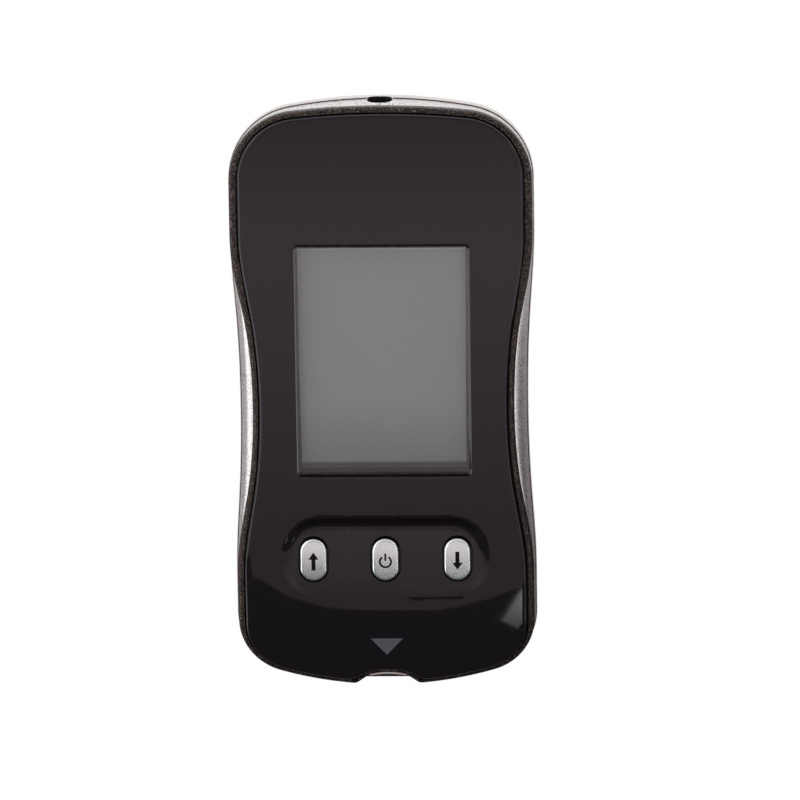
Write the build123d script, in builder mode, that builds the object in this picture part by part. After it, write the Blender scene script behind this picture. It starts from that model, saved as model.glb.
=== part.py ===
"""Handheld blood glucose meter, modelled as its separate pieces in millimetres.

The meter lies on its back on the XY plane with its face towards +Z. The data socket is at the
+Y end, the strip port at the -Y end, and X runs across the meter. Three housing shells are
stacked along Z: rear case, middle frame and bezel frame. A gloss panel covers the bezel frame,
and the display, board, keys and coin cells lie between.
"""
from build123d import *
import math
import os

os.makedirs("parts", exist_ok=True)

# ------------------------------------------------------------------ housing, in plan
body_length = 93.0
body_width = 47.0
body_waist_depth = 1.2        # how far each side of the body swings in at the waist
body_hip_depth = 0.15
face_side_setback = 0.2       # face outline inside the body outline, each side
face_hip_setback = 0.35
face_waist_depth = 3.1        # how far each side of the face swings in at the waist
face_setback = 0.7            # face outline behind the body's socket end
body_strip_setback = 0.3      # body outline behind the face outline's strip end
shoulder_from_socket_end = 20.5
hip_from_strip_end = 18.5
waist_shift = -0.5            # waist from the middle between shoulder and hip
flank_share = 0.35            # how far the flank stands out halfway between waist and shoulder
body_end_radius = 78.0        # of the body's socket end
body_corner_radius = 11.5
socket_end_radius = 127.0     # of the face's socket end
socket_corner_radius = 10.9
strip_end_radius = 56.0       # of both outlines
strip_corner_radius = 9.0

# ------------------------------------------------------------------ housing, in height
case_height = 9.5             # back plane to the parting line
frame_band = 2.7              # middle frame
chassis_thickness = 1.2
chassis_rise = 0.4            # panel's seat above the middle frame
panel_thickness = 1.9
key_proud = 0.5
rim_rise = 1.2                # rim above the panel's seat
bend_from_strip_end = 18.5    # the face falls away from here to the strip end
bend_radius = 72.0

# ------------------------------------------------------------------ walls and edges
case_wall = 1.5
case_floor = 2.0
back_edge_radius = 8.5
frame_wall = 1.6
frame_step = 0.2              # middle frame's foot inside the rear case's edge
frame_joint = 0.1             # gap over the data socket, where the frame's two sides meet
rim_at_socket = 0.9           # width of the dark rim round the panel
rim_at_shoulder = 1.25
rim_at_waist = 0.95
rim_at_hip = 1.05
rim_at_strip = 0.65
rim_round = 0.55
panel_groove = 0.2
panel_round = 0.45

# ------------------------------------------------------------------ window and display
window_width = 27.16
window_length = 36.8
window_from_socket_end = 40.5 # to the window's middle
window_corner = 0.8
window_bevel = 0.35
lens_setback = 0.6
lens_thickness = 0.8
lens_ledge = 0.2
gasket_thickness = 0.3
gasket_width = 1.2
glass_thickness = 0.7         # each of the display's two glass plates
glass_margin = 1.2
contact_ledge = 3.0           # lower glass plate beyond the upper one
reflector_thickness = 0.2
holder_wall = 1.4
holder_shelf = 1.0
zebra_width = 1.8
zebra_length = 24.0

# ------------------------------------------------------------------ keys
key_pitch = 11.16
keys_from_strip_end = 20.78
key_width = 4.07
key_length = 6.7
key_edge_round = 0.55
key_flange_lip = 0.7
key_flange_thickness = 0.8
key_travel = 0.6
key_gap = 0.18
dish_width = 32.4
dish_length = 13.2
dish_corner = 6.0
dish_wall = 1.7
dish_depth = 0.8
dish_shift = 0.35             # dish from the middle of the keys
mat_width = 32.0
mat_length = 10.6
mat_thickness = 1.8
dome_radius = 2.5
dome_height = 0.35
dome_pocket_depth = 0.9
plunger_radius = 1.0

# ------------------------------------------------------------------ board and what it carries
board_thickness = 1.0
board_underside = 7.6
board_inset = 2.2
boss_root = 0.05              # how far bosses and posts reach into the case floor
post_radius = 1.6
rest_post_x = 15.2
rest_post_shift = 6.0         # rest posts from the window's middle
board_screw_x = 10.5
board_screw_from_strip_end = 8.5
buzzer_radius = 4.5
buzzer_height = 2.3
buzzer_x = -9.0
buzzer_shift = 6.65           # from the middle of the keys, as are the next three
controller_side = 7.0
controller_height = 1.2
controller_x = -4.0
controller_shift = 3.0        # from the window's middle
memory_width = 4.0
memory_length = 5.0
memory_height = 1.0
memory_x = 4.5
memory_shift = 12.65
crystal_length = 7.0
crystal_radius = 1.0
crystal_x = 7.5
crystal_shift = 3.65
chip_length = 1.6
chip_width = 0.8
chip_height = 0.6
chip_pitch = 3.0
chip_count = 5
chip_row_shift = -5.85        # middle of the two rows
chip_rows = 2

# ------------------------------------------------------------------ strip port
mark_width = 5.0
mark_length = 2.77
mark_base_y = -38.54
mark_depth = 0.15
notch_mouth_width = 10.2
notch_throat_width = 5.6
notch_depth = 2.0
notch_arch = 0.35             # rise of the throat's arched end
notch_shoulder_radius = 2.0
notch_rim = 0.4               # width of the dark rim round the notch
port_recess_floor = 7.0       # the notch reaches down to here in the silver shells
guide_width = 8.8
guide_height = 1.6
guide_length = 5.2
guide_lift = 0.1              # guide above the board
guide_recess = 0.85
strip_slot_width = 6.6
strip_slot_height = 0.75
strip_slot_lift = 0.6         # slot floor above the board
connector_width = 11.2
connector_length = 7.8
connector_height = 1.6
contact_pitch = 2.0
contact_count = 3
contact_width = 0.5
contact_thickness = 0.2
contact_foot = 1.0            # length of a contact's soldered foot

# ------------------------------------------------------------------ data socket
socket_opening_width = 3.9
socket_opening_height = 2.7
socket_lift = 0.7             # socket above the parting line
socket_bore_radius = 1.27
socket_bore_depth = 10.5
socket_body_width = 5.8
socket_body_length = 12.0
socket_body_height = 3.7
socket_tab_pitch = 3.0
socket_tab_width = 1.0

# ------------------------------------------------------------------ coin cells and door
cell_radius = 10.0
cell_thickness = 3.2
cell_cap_radius = 8.8
cell_cap_height = 0.3
cell_pitch = 21.0
cell_from_socket_end = 17.9   # to the upper cell's middle
cell_side_play = 0.3
cell_end_play = 0.7
spring_width = 4.0
spring_touch = 3.0            # length of a spring's flat ends
spring_run = 4.0
bay_wall = 1.1
bay_corner = 3.0
bay_top = 6.0
door_width = 24.0
door_thickness = 1.4
door_overlap = 2.0            # door beyond the bay's inner end
door_play = 0.12
rail_depth = 1.0
rail_lip = 0.7                # case below the rail groove
ridge_count = 5
ridge_pitch = 1.6
ridge_width = 0.7
ridge_depth = 0.35
ridge_length = 13.0
ridge_from_socket_end = 15.5
pad_thickness = 0.5
pad_margin = 1.0

# ------------------------------------------------------------------ screws and label
case_screw_x = 16.5
case_screw_from_socket_end = 13.5
case_screw_from_strip_end = 10.0
boss_radius = 2.6
boss_meet = 6.2               # the case bosses and the chassis bosses meet here
screw_radius = 0.9
screw_head_radius = 1.8
screw_head_height = 1.2
screw_well_depth = 3.0
board_screw_radius = 0.7
board_screw_head_radius = 1.4
board_screw_length = 4.0
label_width = 22.0
label_length = 23.0
label_corner = 2.0
label_gap = 3.8               # between the label's recess and the door
label_recess = 0.3
label_thickness = 0.22

# ------------------------------------------------------------------ clearances
fit_play = 0.05               # pieces that are glued or dropped into a seat
loose_play = 0.1              # pieces that only have to clear each other
boss_clearance = 0.4

# ------------------------------------------------------------------ levels and places that follow
body_end = body_length / 2
body_side = body_width / 2
body_hip = body_side - body_hip_depth
face_end = body_end - face_setback
face_shoulder = body_side - face_side_setback
face_waist = face_shoulder - face_waist_depth
face_hip = body_hip - face_hip_setback
shoulder_station = body_end - shoulder_from_socket_end
hip_station = hip_from_strip_end - body_end
waist_station = (shoulder_station + hip_station) / 2 + waist_shift
bend_start = bend_from_strip_end - body_end
window_centre_y = body_end - window_from_socket_end
key_centre_y = keys_from_strip_end - body_end
dish_centre_y = key_centre_y + dish_shift
case_screw_upper_y = body_end - case_screw_from_socket_end
case_screw_lower_y = case_screw_from_strip_end - body_end
frame_top = case_height + frame_band
panel_seat = frame_top + chassis_rise
chassis_bottom = panel_seat - chassis_thickness
chassis_joint = panel_seat - chassis_rise / 2
chassis_inset = max(frame_wall, case_wall + body_strip_setback) + 2 * loose_play
face_level = panel_seat + panel_thickness
rim_top = panel_seat + rim_rise
key_top = face_level + key_proud
board_top = board_underside + board_thickness
notch_sag = strip_end_radius - math.sqrt(strip_end_radius**2 - (notch_mouth_width / 2) ** 2)
face_strip_end = -body_end - notch_sag
body_strip_end = face_strip_end + body_strip_setback
lens_top = face_level - lens_setback
lens_bottom = lens_top - lens_thickness
lens_width = window_width - 2 * window_bevel
lens_length = window_length - 2 * window_bevel
display_top = panel_seat - gasket_thickness
display_bottom = display_top - 2 * glass_thickness
display_width = window_width + 2 * glass_margin
display_length = window_length + 2 * glass_margin
holder_inner_length = display_length + contact_ledge + 2 * loose_play
holder_inner_width = display_width + 2 * loose_play
holder_centre_y = window_centre_y - contact_ledge / 2
holder_width = holder_inner_width + 2 * holder_wall
holder_length = holder_inner_length + 2 * holder_wall
key_places = [(-key_pitch, key_centre_y), (0.0, key_centre_y), (key_pitch, key_centre_y)]
flange_top = panel_seat - fit_play
flange_bottom = flange_top - key_flange_thickness
mat_nub_top = flange_bottom - key_travel - loose_play
case_screw_places = [
    (side * case_screw_x, y) for side in (-1, 1) for y in (case_screw_lower_y, case_screw_upper_y)
]
board_screw_y = board_screw_from_strip_end - body_end
board_screw_places = [(side * board_screw_x, board_screw_y) for side in (-1, 1)]
rest_post_y = window_centre_y + rest_post_shift
rest_post_places = [(side * rest_post_x, rest_post_y) for side in (-1, 1)]
buzzer_place = (buzzer_x, key_centre_y + buzzer_shift)
controller_place = (controller_x, window_centre_y + controller_shift)
memory_place = (memory_x, key_centre_y + memory_shift)
crystal_place = (crystal_x, key_centre_y + crystal_shift)
cell_upper_y = body_end - cell_from_socket_end
cell_ys = [cell_upper_y - cell_pitch, cell_upper_y]
bay_width = 2 * (cell_radius + cell_side_play)
bay_length = cell_pitch + 2 * (cell_radius + cell_end_play)
bay_centre_y = sum(cell_ys) / 2
door_ceiling = door_thickness + loose_play
door_start = bay_centre_y - bay_length / 2 - bay_wall - door_overlap
label_centre_y = door_start - label_gap - label_length / 2
cell_bottom = door_ceiling
guide_end = -body_end + guide_recess
guide_bottom = board_top + guide_lift
slot_floor = board_top + strip_slot_lift
connector_front = guide_end + guide_length + 3 * loose_play
contact_level = slot_floor + strip_slot_height - contact_thickness / 2
contact_back = connector_front + connector_length + fit_play
socket_front = face_end - frame_wall - loose_play
socket_level = case_height + socket_lift
tab_reach = socket_body_width / 2 + boss_clearance + 2 * contact_foot
zebra_y = window_centre_y - display_length / 2 - contact_ledge / 2
cell_top = cell_bottom + cell_thickness
pad_width = 2 * cell_radius - 2 * pad_margin
pad_length = bay_length - 2 * pad_margin


# ------------------------------------------------------------------ shapes used by several pieces
def end_corner(end_y, end_radius, side_x, corner_radius, way):
    """Points of half an end of the outline: the middle of the shallow end arc, where it meets
    the corner arc, the middle of the corner arc, and where that meets the straight side. The
    arcs are tangent, because both centres and the meeting point lie on one line."""
    end_arc_y = end_y - way * end_radius
    reach = end_radius - corner_radius
    corner_x = side_x - corner_radius
    lean = math.asin(corner_x / reach)
    corner_y = end_arc_y + way * reach * math.cos(lean)
    elbow_angle = (lean + math.pi / 2) / 2
    end_middle = (end_radius * math.sin(lean / 2), end_arc_y + way * end_radius * math.cos(lean / 2))
    meeting = (end_radius * math.sin(lean), end_arc_y + way * end_radius * math.cos(lean))
    elbow = (
        corner_x + corner_radius * math.sin(elbow_angle),
        corner_y + way * corner_radius * math.cos(elbow_angle),
    )
    return end_middle, meeting, elbow, (side_x, corner_y)


def plan_outline(socket, sides, strip, inset):
    """Closed plan outline, symmetric about X = 0, moved inwards by inset all round: shallow end
    arcs, round corners, and sides that swing in to a waist along a spline. The socket end and
    the strip end are each given as a Y, an arc radius and a corner radius, and the sides as
    half widths at the shoulder, the waist and the hip."""
    socket_y, socket_radius, socket_corner = socket
    strip_y, strip_radius, strip_corner = strip
    shoulder_x, waist_x, hip_x = [half_width - inset for half_width in sides]
    top_y = socket_y - inset
    low_y = strip_y + inset
    top_middle, top_meeting, top_elbow, top_side = end_corner(
        top_y, socket_radius - inset, shoulder_x, socket_corner - inset, 1
    )
    low_middle, low_meeting, low_elbow, low_side = end_corner(
        low_y, strip_radius - inset, hip_x, strip_corner - inset, -1
    )
    upper_flank = waist_x + flank_share * (shoulder_x - waist_x)
    lower_flank = waist_x + flank_share * (hip_x - waist_x)
    with BuildSketch() as outline:
        with BuildLine():
            ThreePointArc((0, top_y), top_middle, top_meeting)
            ThreePointArc(top_meeting, top_elbow, top_side)
            Line(top_side, (shoulder_x, shoulder_station))
            Spline(
                (shoulder_x, shoulder_station),
                (upper_flank, (shoulder_station + waist_station) / 2),
                (waist_x, waist_station),
                (lower_flank, (waist_station + hip_station) / 2),
                (hip_x, hip_station),
                tangents=((0, -1), (0, -1)),
            )
            Line((hip_x, hip_station), low_side)
            ThreePointArc(low_side, low_elbow, low_meeting)
            ThreePointArc(low_meeting, low_middle, (0, low_y))
            mirror(about=Plane.YZ)
        make_face()
    return outline.sketch


def body_outline(inset=0.0):
    """Outline of the silver shells at the parting line."""
    return plan_outline(
        (body_end, body_end_radius, body_corner_radius),
        (body_side, body_side - body_waist_depth, body_hip),
        (body_strip_end, strip_end_radius, strip_corner_radius),
        inset,
    )


def face_outline(inset=0.0):
    """Outline of the dark rim, which follows the waist more deeply than the shells do."""
    return plan_outline(
        (face_end, socket_end_radius, socket_corner_radius),
        (face_shoulder, face_waist, face_hip),
        (face_strip_end, strip_end_radius, strip_corner_radius),
        inset,
    )


def panel_outline(inset=0.0):
    """Outline of the pocket inside the dark rim, whose width differs from side to side."""
    return plan_outline(
        (face_end - rim_at_socket, socket_end_radius, socket_corner_radius - rim_at_shoulder),
        (face_shoulder - rim_at_shoulder, face_waist - rim_at_waist, face_hip - rim_at_hip),
        (face_strip_end + rim_at_strip, strip_end_radius, strip_corner_radius - rim_at_hip),
        inset,
    )


def face_drop(y):
    """How far the face has fallen at a station y beyond the start of the bend."""
    run = max(0.0, bend_start - y)
    return bend_radius - math.sqrt(bend_radius**2 - run**2)


def below_face(level):
    """Everything under a sheet parallel to the face: level as far as the bend, then falling
    along an arc towards the strip end."""
    far = body_length
    low_end = -0.6 * body_length
    middle = (low_end + bend_start) / 2
    with BuildPart() as block:
        with BuildSketch(Plane.YZ):
            with BuildLine():
                Polyline(
                    (bend_start, level),
                    (far, level),
                    (far, -far),
                    (low_end, -far),
                    (low_end, level - face_drop(low_end)),
                )
                ThreePointArc(
                    (low_end, level - face_drop(low_end)),
                    (middle, level - face_drop(middle)),
                    (bend_start, level),
                )
            make_face()
        extrude(amount=body_width, both=True)
    return block.part


def prism(outline, low, high):
    """A plan outline as a solid between two levels."""
    with BuildPart() as solid:
        with BuildSketch(Plane.XY.offset(low)):
            add(outline)
        extrude(amount=high - low)
    return solid.part


def tub(inset, floor, edge_radius):
    """The rear case's form, or the hollow in it: the body outline with a rounded lower edge."""
    with BuildPart() as form:
        with BuildSketch(Plane.XY.offset(floor)):
            add(body_outline(inset))
        extrude(amount=case_height - floor)
        fillet(form.edges().group_by(Axis.Z)[0], radius=edge_radius)
    return form.part


def face_rim(part, low):
    """Edges round the top of a face-shaped block, without the line where the bend starts."""
    upper = part.edges().filter_by(lambda edge: edge.center().Z > low)
    return upper.filter_by(Axis.Z, reverse=True).filter_by(Axis.X, reverse=True)


def face_block(outline, level, edge_round):
    """Block up to a sheet parallel to the face, with a rounded upper edge."""
    with BuildPart() as block:
        with BuildSketch(Plane.XY.offset(board_underside)):
            add(outline)
        extrude(amount=level)
        add(below_face(level), mode=Mode.INTERSECT)
        fillet(face_rim(block.part, board_top), radius=edge_round)
    return block.part


def notch_outline():
    """The notch in the strip end: a mouth with rounded shoulders, tapering to an arched end."""
    mouth = notch_mouth_width / 2
    throat = notch_throat_width / 2
    inner_y = -body_end + notch_depth
    corner_y = inner_y - notch_arch
    with BuildSketch() as outline:
        with BuildLine():
            ThreePointArc((-throat, corner_y), (0, inner_y), (throat, corner_y))
            Polyline(
                (throat, corner_y),
                (mouth, -body_end),
                (mouth + notch_shoulder_radius, -body_end),
                (mouth + notch_shoulder_radius, -body_end - notch_depth),
                (-mouth - notch_shoulder_radius, -body_end - notch_depth),
                (-mouth - notch_shoulder_radius, -body_end),
                (-mouth, -body_end),
                (-throat, corner_y),
            )
        make_face()
        shoulders = outline.vertices().group_by(Axis.Y)[1].sort_by(Axis.X)[1:3]
        fillet(shoulders, radius=notch_shoulder_radius)
    return outline.sketch


def port_recess():
    """The notch carried down into the silver shells, as far back as the guide's front."""
    with BuildPart() as recess:
        add(prism(notch_outline(), port_recess_floor, face_level))
        with BuildSketch(Plane.XY.offset(port_recess_floor)):
            with Locations((0, guide_end)):
                Rectangle(body_width, body_length, align=(Align.CENTER, Align.MIN))
        extrude(amount=face_level, mode=Mode.SUBTRACT)
    return recess.part


def guide_seat():
    """Room for the strip guide in the three shells."""
    with BuildPart() as seat:
        with BuildSketch(Plane.XY.offset(guide_bottom - fit_play)):
            with Locations((0, guide_end + guide_length / 2 - notch_depth)):
                Rectangle(guide_width + 2 * fit_play, guide_length + 2 * notch_depth + 2 * fit_play)
        extrude(amount=guide_height + 2 * fit_play)
    return seat.part


def socket_opening():
    """The oval opening in front of the data socket, through the shells' end walls."""
    with BuildPart() as opening:
        with BuildSketch(Plane.XZ.offset(-body_end)):
            with Locations((0, socket_level)):
                SlotOverall(socket_opening_width, socket_opening_height)
        extrude(amount=body_end - socket_front)
    return opening.part


# The case screws reach the middle of the chassis where it has fallen the most
screw_tip = panel_seat - chassis_thickness / 2 - face_drop(case_screw_lower_y)
screw_length = screw_tip - screw_well_depth

# ------------------------------------------------------------------ rear case
with BuildPart() as rear_case:
    add(tub(0.0, 0.0, back_edge_radius))
    add(tub(case_wall, case_floor, back_edge_radius - case_wall), mode=Mode.SUBTRACT)
    with BuildSketch(Plane.XY.offset(door_ceiling)):
        with Locations((0, bay_centre_y)):
            RectangleRounded(
                bay_width + 2 * bay_wall, bay_length + 2 * bay_wall, bay_corner + bay_wall
            )
    extrude(amount=bay_top - door_ceiling)
    with BuildSketch(Plane.XY.offset(case_floor - boss_root)):
        with Locations(*case_screw_places):
            Circle(boss_radius)
    extrude(amount=boss_meet - case_floor + boss_root)
    with BuildSketch(Plane.XY.offset(case_floor - boss_root)):
        with Locations(*board_screw_places, *rest_post_places):
            Circle(post_radius)
    extrude(amount=board_underside - case_floor + boss_root)
    with BuildSketch():
        with Locations((0, bay_centre_y)):
            RectangleRounded(bay_width, bay_length, bay_corner)
    extrude(amount=bay_top, mode=Mode.SUBTRACT)
    with BuildSketch():
        with Locations((0, door_start)):
            Rectangle(door_width + 2 * door_play, body_length, align=(Align.CENTER, Align.MIN))
    extrude(amount=door_ceiling, mode=Mode.SUBTRACT)
    with BuildSketch(Plane.XY.offset(rail_lip)):
        with Locations((0, door_start)):
            Rectangle(
                door_width + 2 * (door_play + rail_depth),
                body_length,
                align=(Align.CENTER, Align.MIN),
            )
    extrude(amount=door_ceiling - rail_lip, mode=Mode.SUBTRACT)
    with BuildSketch():
        with Locations(*case_screw_places):
            Circle(screw_head_radius + loose_play)
    extrude(amount=screw_well_depth, mode=Mode.SUBTRACT)
    with BuildSketch():
        with Locations(*case_screw_places):
            Circle(screw_radius + loose_play)
    extrude(amount=boss_meet, mode=Mode.SUBTRACT)
    with BuildSketch(Plane.XY.offset(board_underside)):
        with Locations(*board_screw_places):
            Circle(board_screw_radius)
    extrude(amount=board_thickness - board_screw_length - loose_play, mode=Mode.SUBTRACT)
    with BuildSketch():
        with Locations((0, label_centre_y)):
            RectangleRounded(
                label_width + 2 * loose_play, label_length + 2 * loose_play, label_corner
            )
    extrude(amount=label_recess, mode=Mode.SUBTRACT)
    add(guide_seat(), mode=Mode.SUBTRACT)
    add(port_recess(), mode=Mode.SUBTRACT)
    add(socket_opening(), mode=Mode.SUBTRACT)
rear_case.part.label = "rear_case"
export_step(rear_case.part, "parts/rear_case.step")

# ------------------------------------------------------------------ middle frame
# Two side pieces that run from the strip port to the data socket
with BuildPart() as middle_frame:
    with BuildSketch(Plane.XY.offset(case_height)):
        add(body_outline(frame_step))
    with BuildSketch(Plane.XY.offset(frame_top)):
        add(face_outline())
    loft()
    with BuildSketch(Plane.XY.offset(case_height)):
        add(face_outline(frame_wall))
    extrude(amount=frame_band, mode=Mode.SUBTRACT)
    add(below_face(frame_top), mode=Mode.INTERSECT)
    add(guide_seat(), mode=Mode.SUBTRACT)
    add(port_recess(), mode=Mode.SUBTRACT)
    add(socket_opening(), mode=Mode.SUBTRACT)
    with BuildSketch(Plane.XY.offset(case_height)):
        Rectangle(frame_joint, body_length)
    extrude(amount=frame_band, mode=Mode.SUBTRACT)
middle_frame.part.label = "middle_frame"
export_step(middle_frame.part, "parts/middle_frame.step")

# ------------------------------------------------------------------ bezel frame
with BuildPart() as panel_pocket:
    add(prism(panel_outline(), board_top, key_top))
    add(prism(offset(notch_outline(), amount=notch_rim), board_top, key_top), mode=Mode.SUBTRACT)
    add(below_face(panel_seat), mode=Mode.SUBTRACT)

with BuildPart() as chassis_plate:
    add(prism(face_outline(chassis_inset), board_underside, panel_seat))
    add(below_face(chassis_joint), mode=Mode.INTERSECT)
    add(below_face(chassis_bottom), mode=Mode.SUBTRACT)

with BuildPart() as chassis_bosses:
    with BuildSketch(Plane.XY.offset(boss_meet)):
        with Locations(*case_screw_places):
            Circle(boss_radius)
    extrude(amount=panel_seat - boss_meet)
    add(below_face(chassis_joint), mode=Mode.INTERSECT)

with BuildPart() as bezel_frame:
    add(face_block(face_outline(), rim_top, rim_round))
    add(panel_pocket.part, mode=Mode.SUBTRACT)
    add(below_face(frame_top), mode=Mode.SUBTRACT)
    add(chassis_plate.part)
    with BuildSketch(Plane.XY.offset(board_top)):
        with Locations((0, holder_centre_y)):
            Rectangle(holder_width + 2 * loose_play, holder_length + 2 * loose_play)
        with Locations((0, key_centre_y)):
            Rectangle(mat_width + 2 * loose_play, mat_length + 2 * loose_play)
        with Locations((0, socket_front - socket_body_length - loose_play)):
            Rectangle(
                socket_body_width + 2 * loose_play,
                socket_body_length + 2 * loose_play,
                align=(Align.CENTER, Align.MIN),
            )
    extrude(amount=panel_seat - board_top, mode=Mode.SUBTRACT)
    add(chassis_bosses.part)
    with BuildSketch(Plane.XY.offset(boss_meet)):
        with Locations(*case_screw_places):
            Circle(screw_radius)
    extrude(amount=screw_tip + loose_play - boss_meet, mode=Mode.SUBTRACT)
    add(guide_seat(), mode=Mode.SUBTRACT)
    add(prism(notch_outline(), guide_bottom, key_top), mode=Mode.SUBTRACT)
bezel_frame.part.label = "bezel_frame"
export_step(bezel_frame.part, "parts/bezel_frame.step")

# ------------------------------------------------------------------ face panel and its mark
def mark_outline(play):
    """The arrow head that points at the strip port, grown by play."""
    with BuildSketch() as outline:
        with BuildLine():
            Polyline(
                (-mark_width / 2 - 2 * play, mark_base_y + play),
                (mark_width / 2 + 2 * play, mark_base_y + play),
                (0, mark_base_y - mark_length - 2 * play),
                close=True,
            )
        make_face()
    return outline.sketch


with BuildPart() as mark_recess:
    add(prism(mark_outline(fit_play), board_top, key_top))
    add(below_face(face_level - mark_depth), mode=Mode.SUBTRACT)

with BuildPart() as face_panel:
    add(face_block(panel_outline(panel_groove), face_level, panel_round))
    add(below_face(panel_seat), mode=Mode.SUBTRACT)
    with BuildSketch(Plane.XY.offset(face_level)):
        with Locations((0, window_centre_y)):
            RectangleRounded(window_width, window_length, window_corner)
    with BuildSketch(Plane.XY.offset(lens_top)):
        with Locations((0, window_centre_y)):
            RectangleRounded(lens_width, lens_length, window_corner - window_bevel / 2)
    loft(mode=Mode.SUBTRACT)
    with BuildSketch(Plane.XY.offset(lens_bottom)):
        with Locations((0, window_centre_y)):
            RectangleRounded(lens_width, lens_length, window_corner - window_bevel / 2)
    extrude(amount=lens_thickness, mode=Mode.SUBTRACT)
    with BuildSketch(Plane.XY.offset(board_top)):
        with Locations((0, window_centre_y)):
            Rectangle(lens_width - 2 * lens_ledge, lens_length - 2 * lens_ledge)
    extrude(amount=lens_bottom - board_top, mode=Mode.SUBTRACT)
    with BuildSketch(Plane.XY.offset(face_level)):
        with Locations((0, dish_centre_y)):
            RectangleRounded(dish_width, dish_length, dish_corner)
    with BuildSketch(Plane.XY.offset(face_level - dish_depth)):
        with Locations((0, dish_centre_y)):
            RectangleRounded(
                dish_width - 2 * dish_wall, dish_length - 2 * dish_wall, dish_corner - dish_wall
            )
    loft(mode=Mode.SUBTRACT)
    with BuildSketch(Plane.XY.offset(board_top)):
        with Locations(*key_places):
            SlotOverall(key_length + 2 * key_gap, key_width + 2 * key_gap, rotation=90)
    extrude(amount=key_top - board_top, mode=Mode.SUBTRACT)
    add(mark_recess.part, mode=Mode.SUBTRACT)
    add(
        prism(offset(notch_outline(), amount=notch_rim + panel_groove), board_top, key_top),
        mode=Mode.SUBTRACT,
    )
face_panel.part.label = "face_panel"
export_step(face_panel.part, "parts/face_panel.step")

with BuildPart() as port_mark:
    add(prism(mark_outline(0.0), board_top, key_top))
    add(below_face(face_level), mode=Mode.INTERSECT)
    add(below_face(face_level - mark_depth + fit_play / 2), mode=Mode.SUBTRACT)
port_mark.part.label = "port_mark"
export_step(port_mark.part, "parts/port_mark.step")

# ------------------------------------------------------------------ window lens and gasket
with BuildPart() as window_lens:
    with BuildSketch(Plane.XY.offset(lens_bottom)):
        with Locations((0, window_centre_y)):
            RectangleRounded(
                lens_width - 2 * fit_play,
                lens_length - 2 * fit_play,
                window_corner - window_bevel / 2,
            )
    extrude(amount=lens_thickness)
window_lens.part.label = "window_lens"
export_step(window_lens.part, "parts/window_lens.step")

with BuildPart() as window_gasket:
    with BuildSketch(Plane.XY.offset(display_top)):
        with Locations((0, window_centre_y)):
            Rectangle(lens_width - lens_ledge + gasket_width, lens_length - lens_ledge + gasket_width)
            Rectangle(
                lens_width - lens_ledge - gasket_width / 4,
                lens_length - lens_ledge - gasket_width / 4,
                mode=Mode.SUBTRACT,
            )
    extrude(amount=gasket_thickness)
window_gasket.part.label = "window_gasket"
export_step(window_gasket.part, "parts/window_gasket.step")

# ------------------------------------------------------------------ display
with BuildPart() as lcd_glass:
    with BuildSketch(Plane.XY.offset(display_bottom)):
        with Locations((0, holder_centre_y)):
            Rectangle(display_width, display_length + contact_ledge)
    extrude(amount=glass_thickness)
    with BuildSketch(Plane.XY.offset(display_bottom + glass_thickness)):
        with Locations((0, window_centre_y)):
            Rectangle(display_width, display_length)
    extrude(amount=glass_thickness)
lcd_glass.part.label = "lcd_glass"
export_step(lcd_glass.part, "parts/lcd_glass.step")

with BuildPart() as lcd_reflector:
    with BuildSketch(Plane.XY.offset(display_bottom - reflector_thickness)):
        with Locations((0, window_centre_y)):
            Rectangle(
                display_width - 2 * (holder_shelf + loose_play),
                display_length - 2 * (holder_shelf + loose_play),
            )
    extrude(amount=reflector_thickness)
lcd_reflector.part.label = "lcd_reflector"
export_step(lcd_reflector.part, "parts/lcd_reflector.step")

with BuildPart() as lcd_holder:
    with BuildSketch(Plane.XY.offset(board_top)):
        with Locations((0, holder_centre_y)):
            Rectangle(holder_width, holder_length)
    extrude(amount=display_top - board_top)
    with BuildSketch(Plane.XY.offset(display_bottom)):
        with Locations((0, holder_centre_y)):
            Rectangle(holder_inner_width, holder_inner_length)
    extrude(amount=display_top - display_bottom, mode=Mode.SUBTRACT)
    with BuildSketch(Plane.XY.offset(board_top)):
        with Locations((0, window_centre_y)):
            Rectangle(display_width - 2 * holder_shelf, display_length - 2 * holder_shelf)
        with Locations((0, zebra_y)):
            Rectangle(zebra_length + 2 * fit_play, zebra_width + 2 * fit_play)
    extrude(amount=display_bottom - board_top, mode=Mode.SUBTRACT)
lcd_holder.part.label = "lcd_holder"
export_step(lcd_holder.part, "parts/lcd_holder.step")

with BuildPart() as zebra_strip:
    with BuildSketch(Plane.XY.offset(board_top)):
        with Locations((0, zebra_y)):
            Rectangle(zebra_length, zebra_width)
    extrude(amount=display_bottom - board_top)
zebra_strip.part.label = "zebra_strip"
export_step(zebra_strip.part, "parts/zebra_strip.step")

# ------------------------------------------------------------------ keys, mat and domes
for key_name, key_place in zip(("key_up", "key_power", "key_down"), key_places):
    with BuildPart() as key:
        with BuildSketch(Plane.XY.offset(flange_bottom)):
            with Locations(key_place):
                SlotOverall(
                    key_length + 2 * key_flange_lip, key_width + 2 * key_flange_lip, rotation=90
                )
        extrude(amount=key_flange_thickness)
        with BuildSketch(Plane.XY.offset(flange_top)):
            with Locations(key_place):
                SlotOverall(key_length, key_width, rotation=90)
        extrude(amount=key_top - flange_top)
        fillet(key.edges().group_by(Axis.Z)[-1], radius=key_edge_round)
    key.part.label = key_name
    export_step(key.part, f"parts/{key_name}.step")

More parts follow.
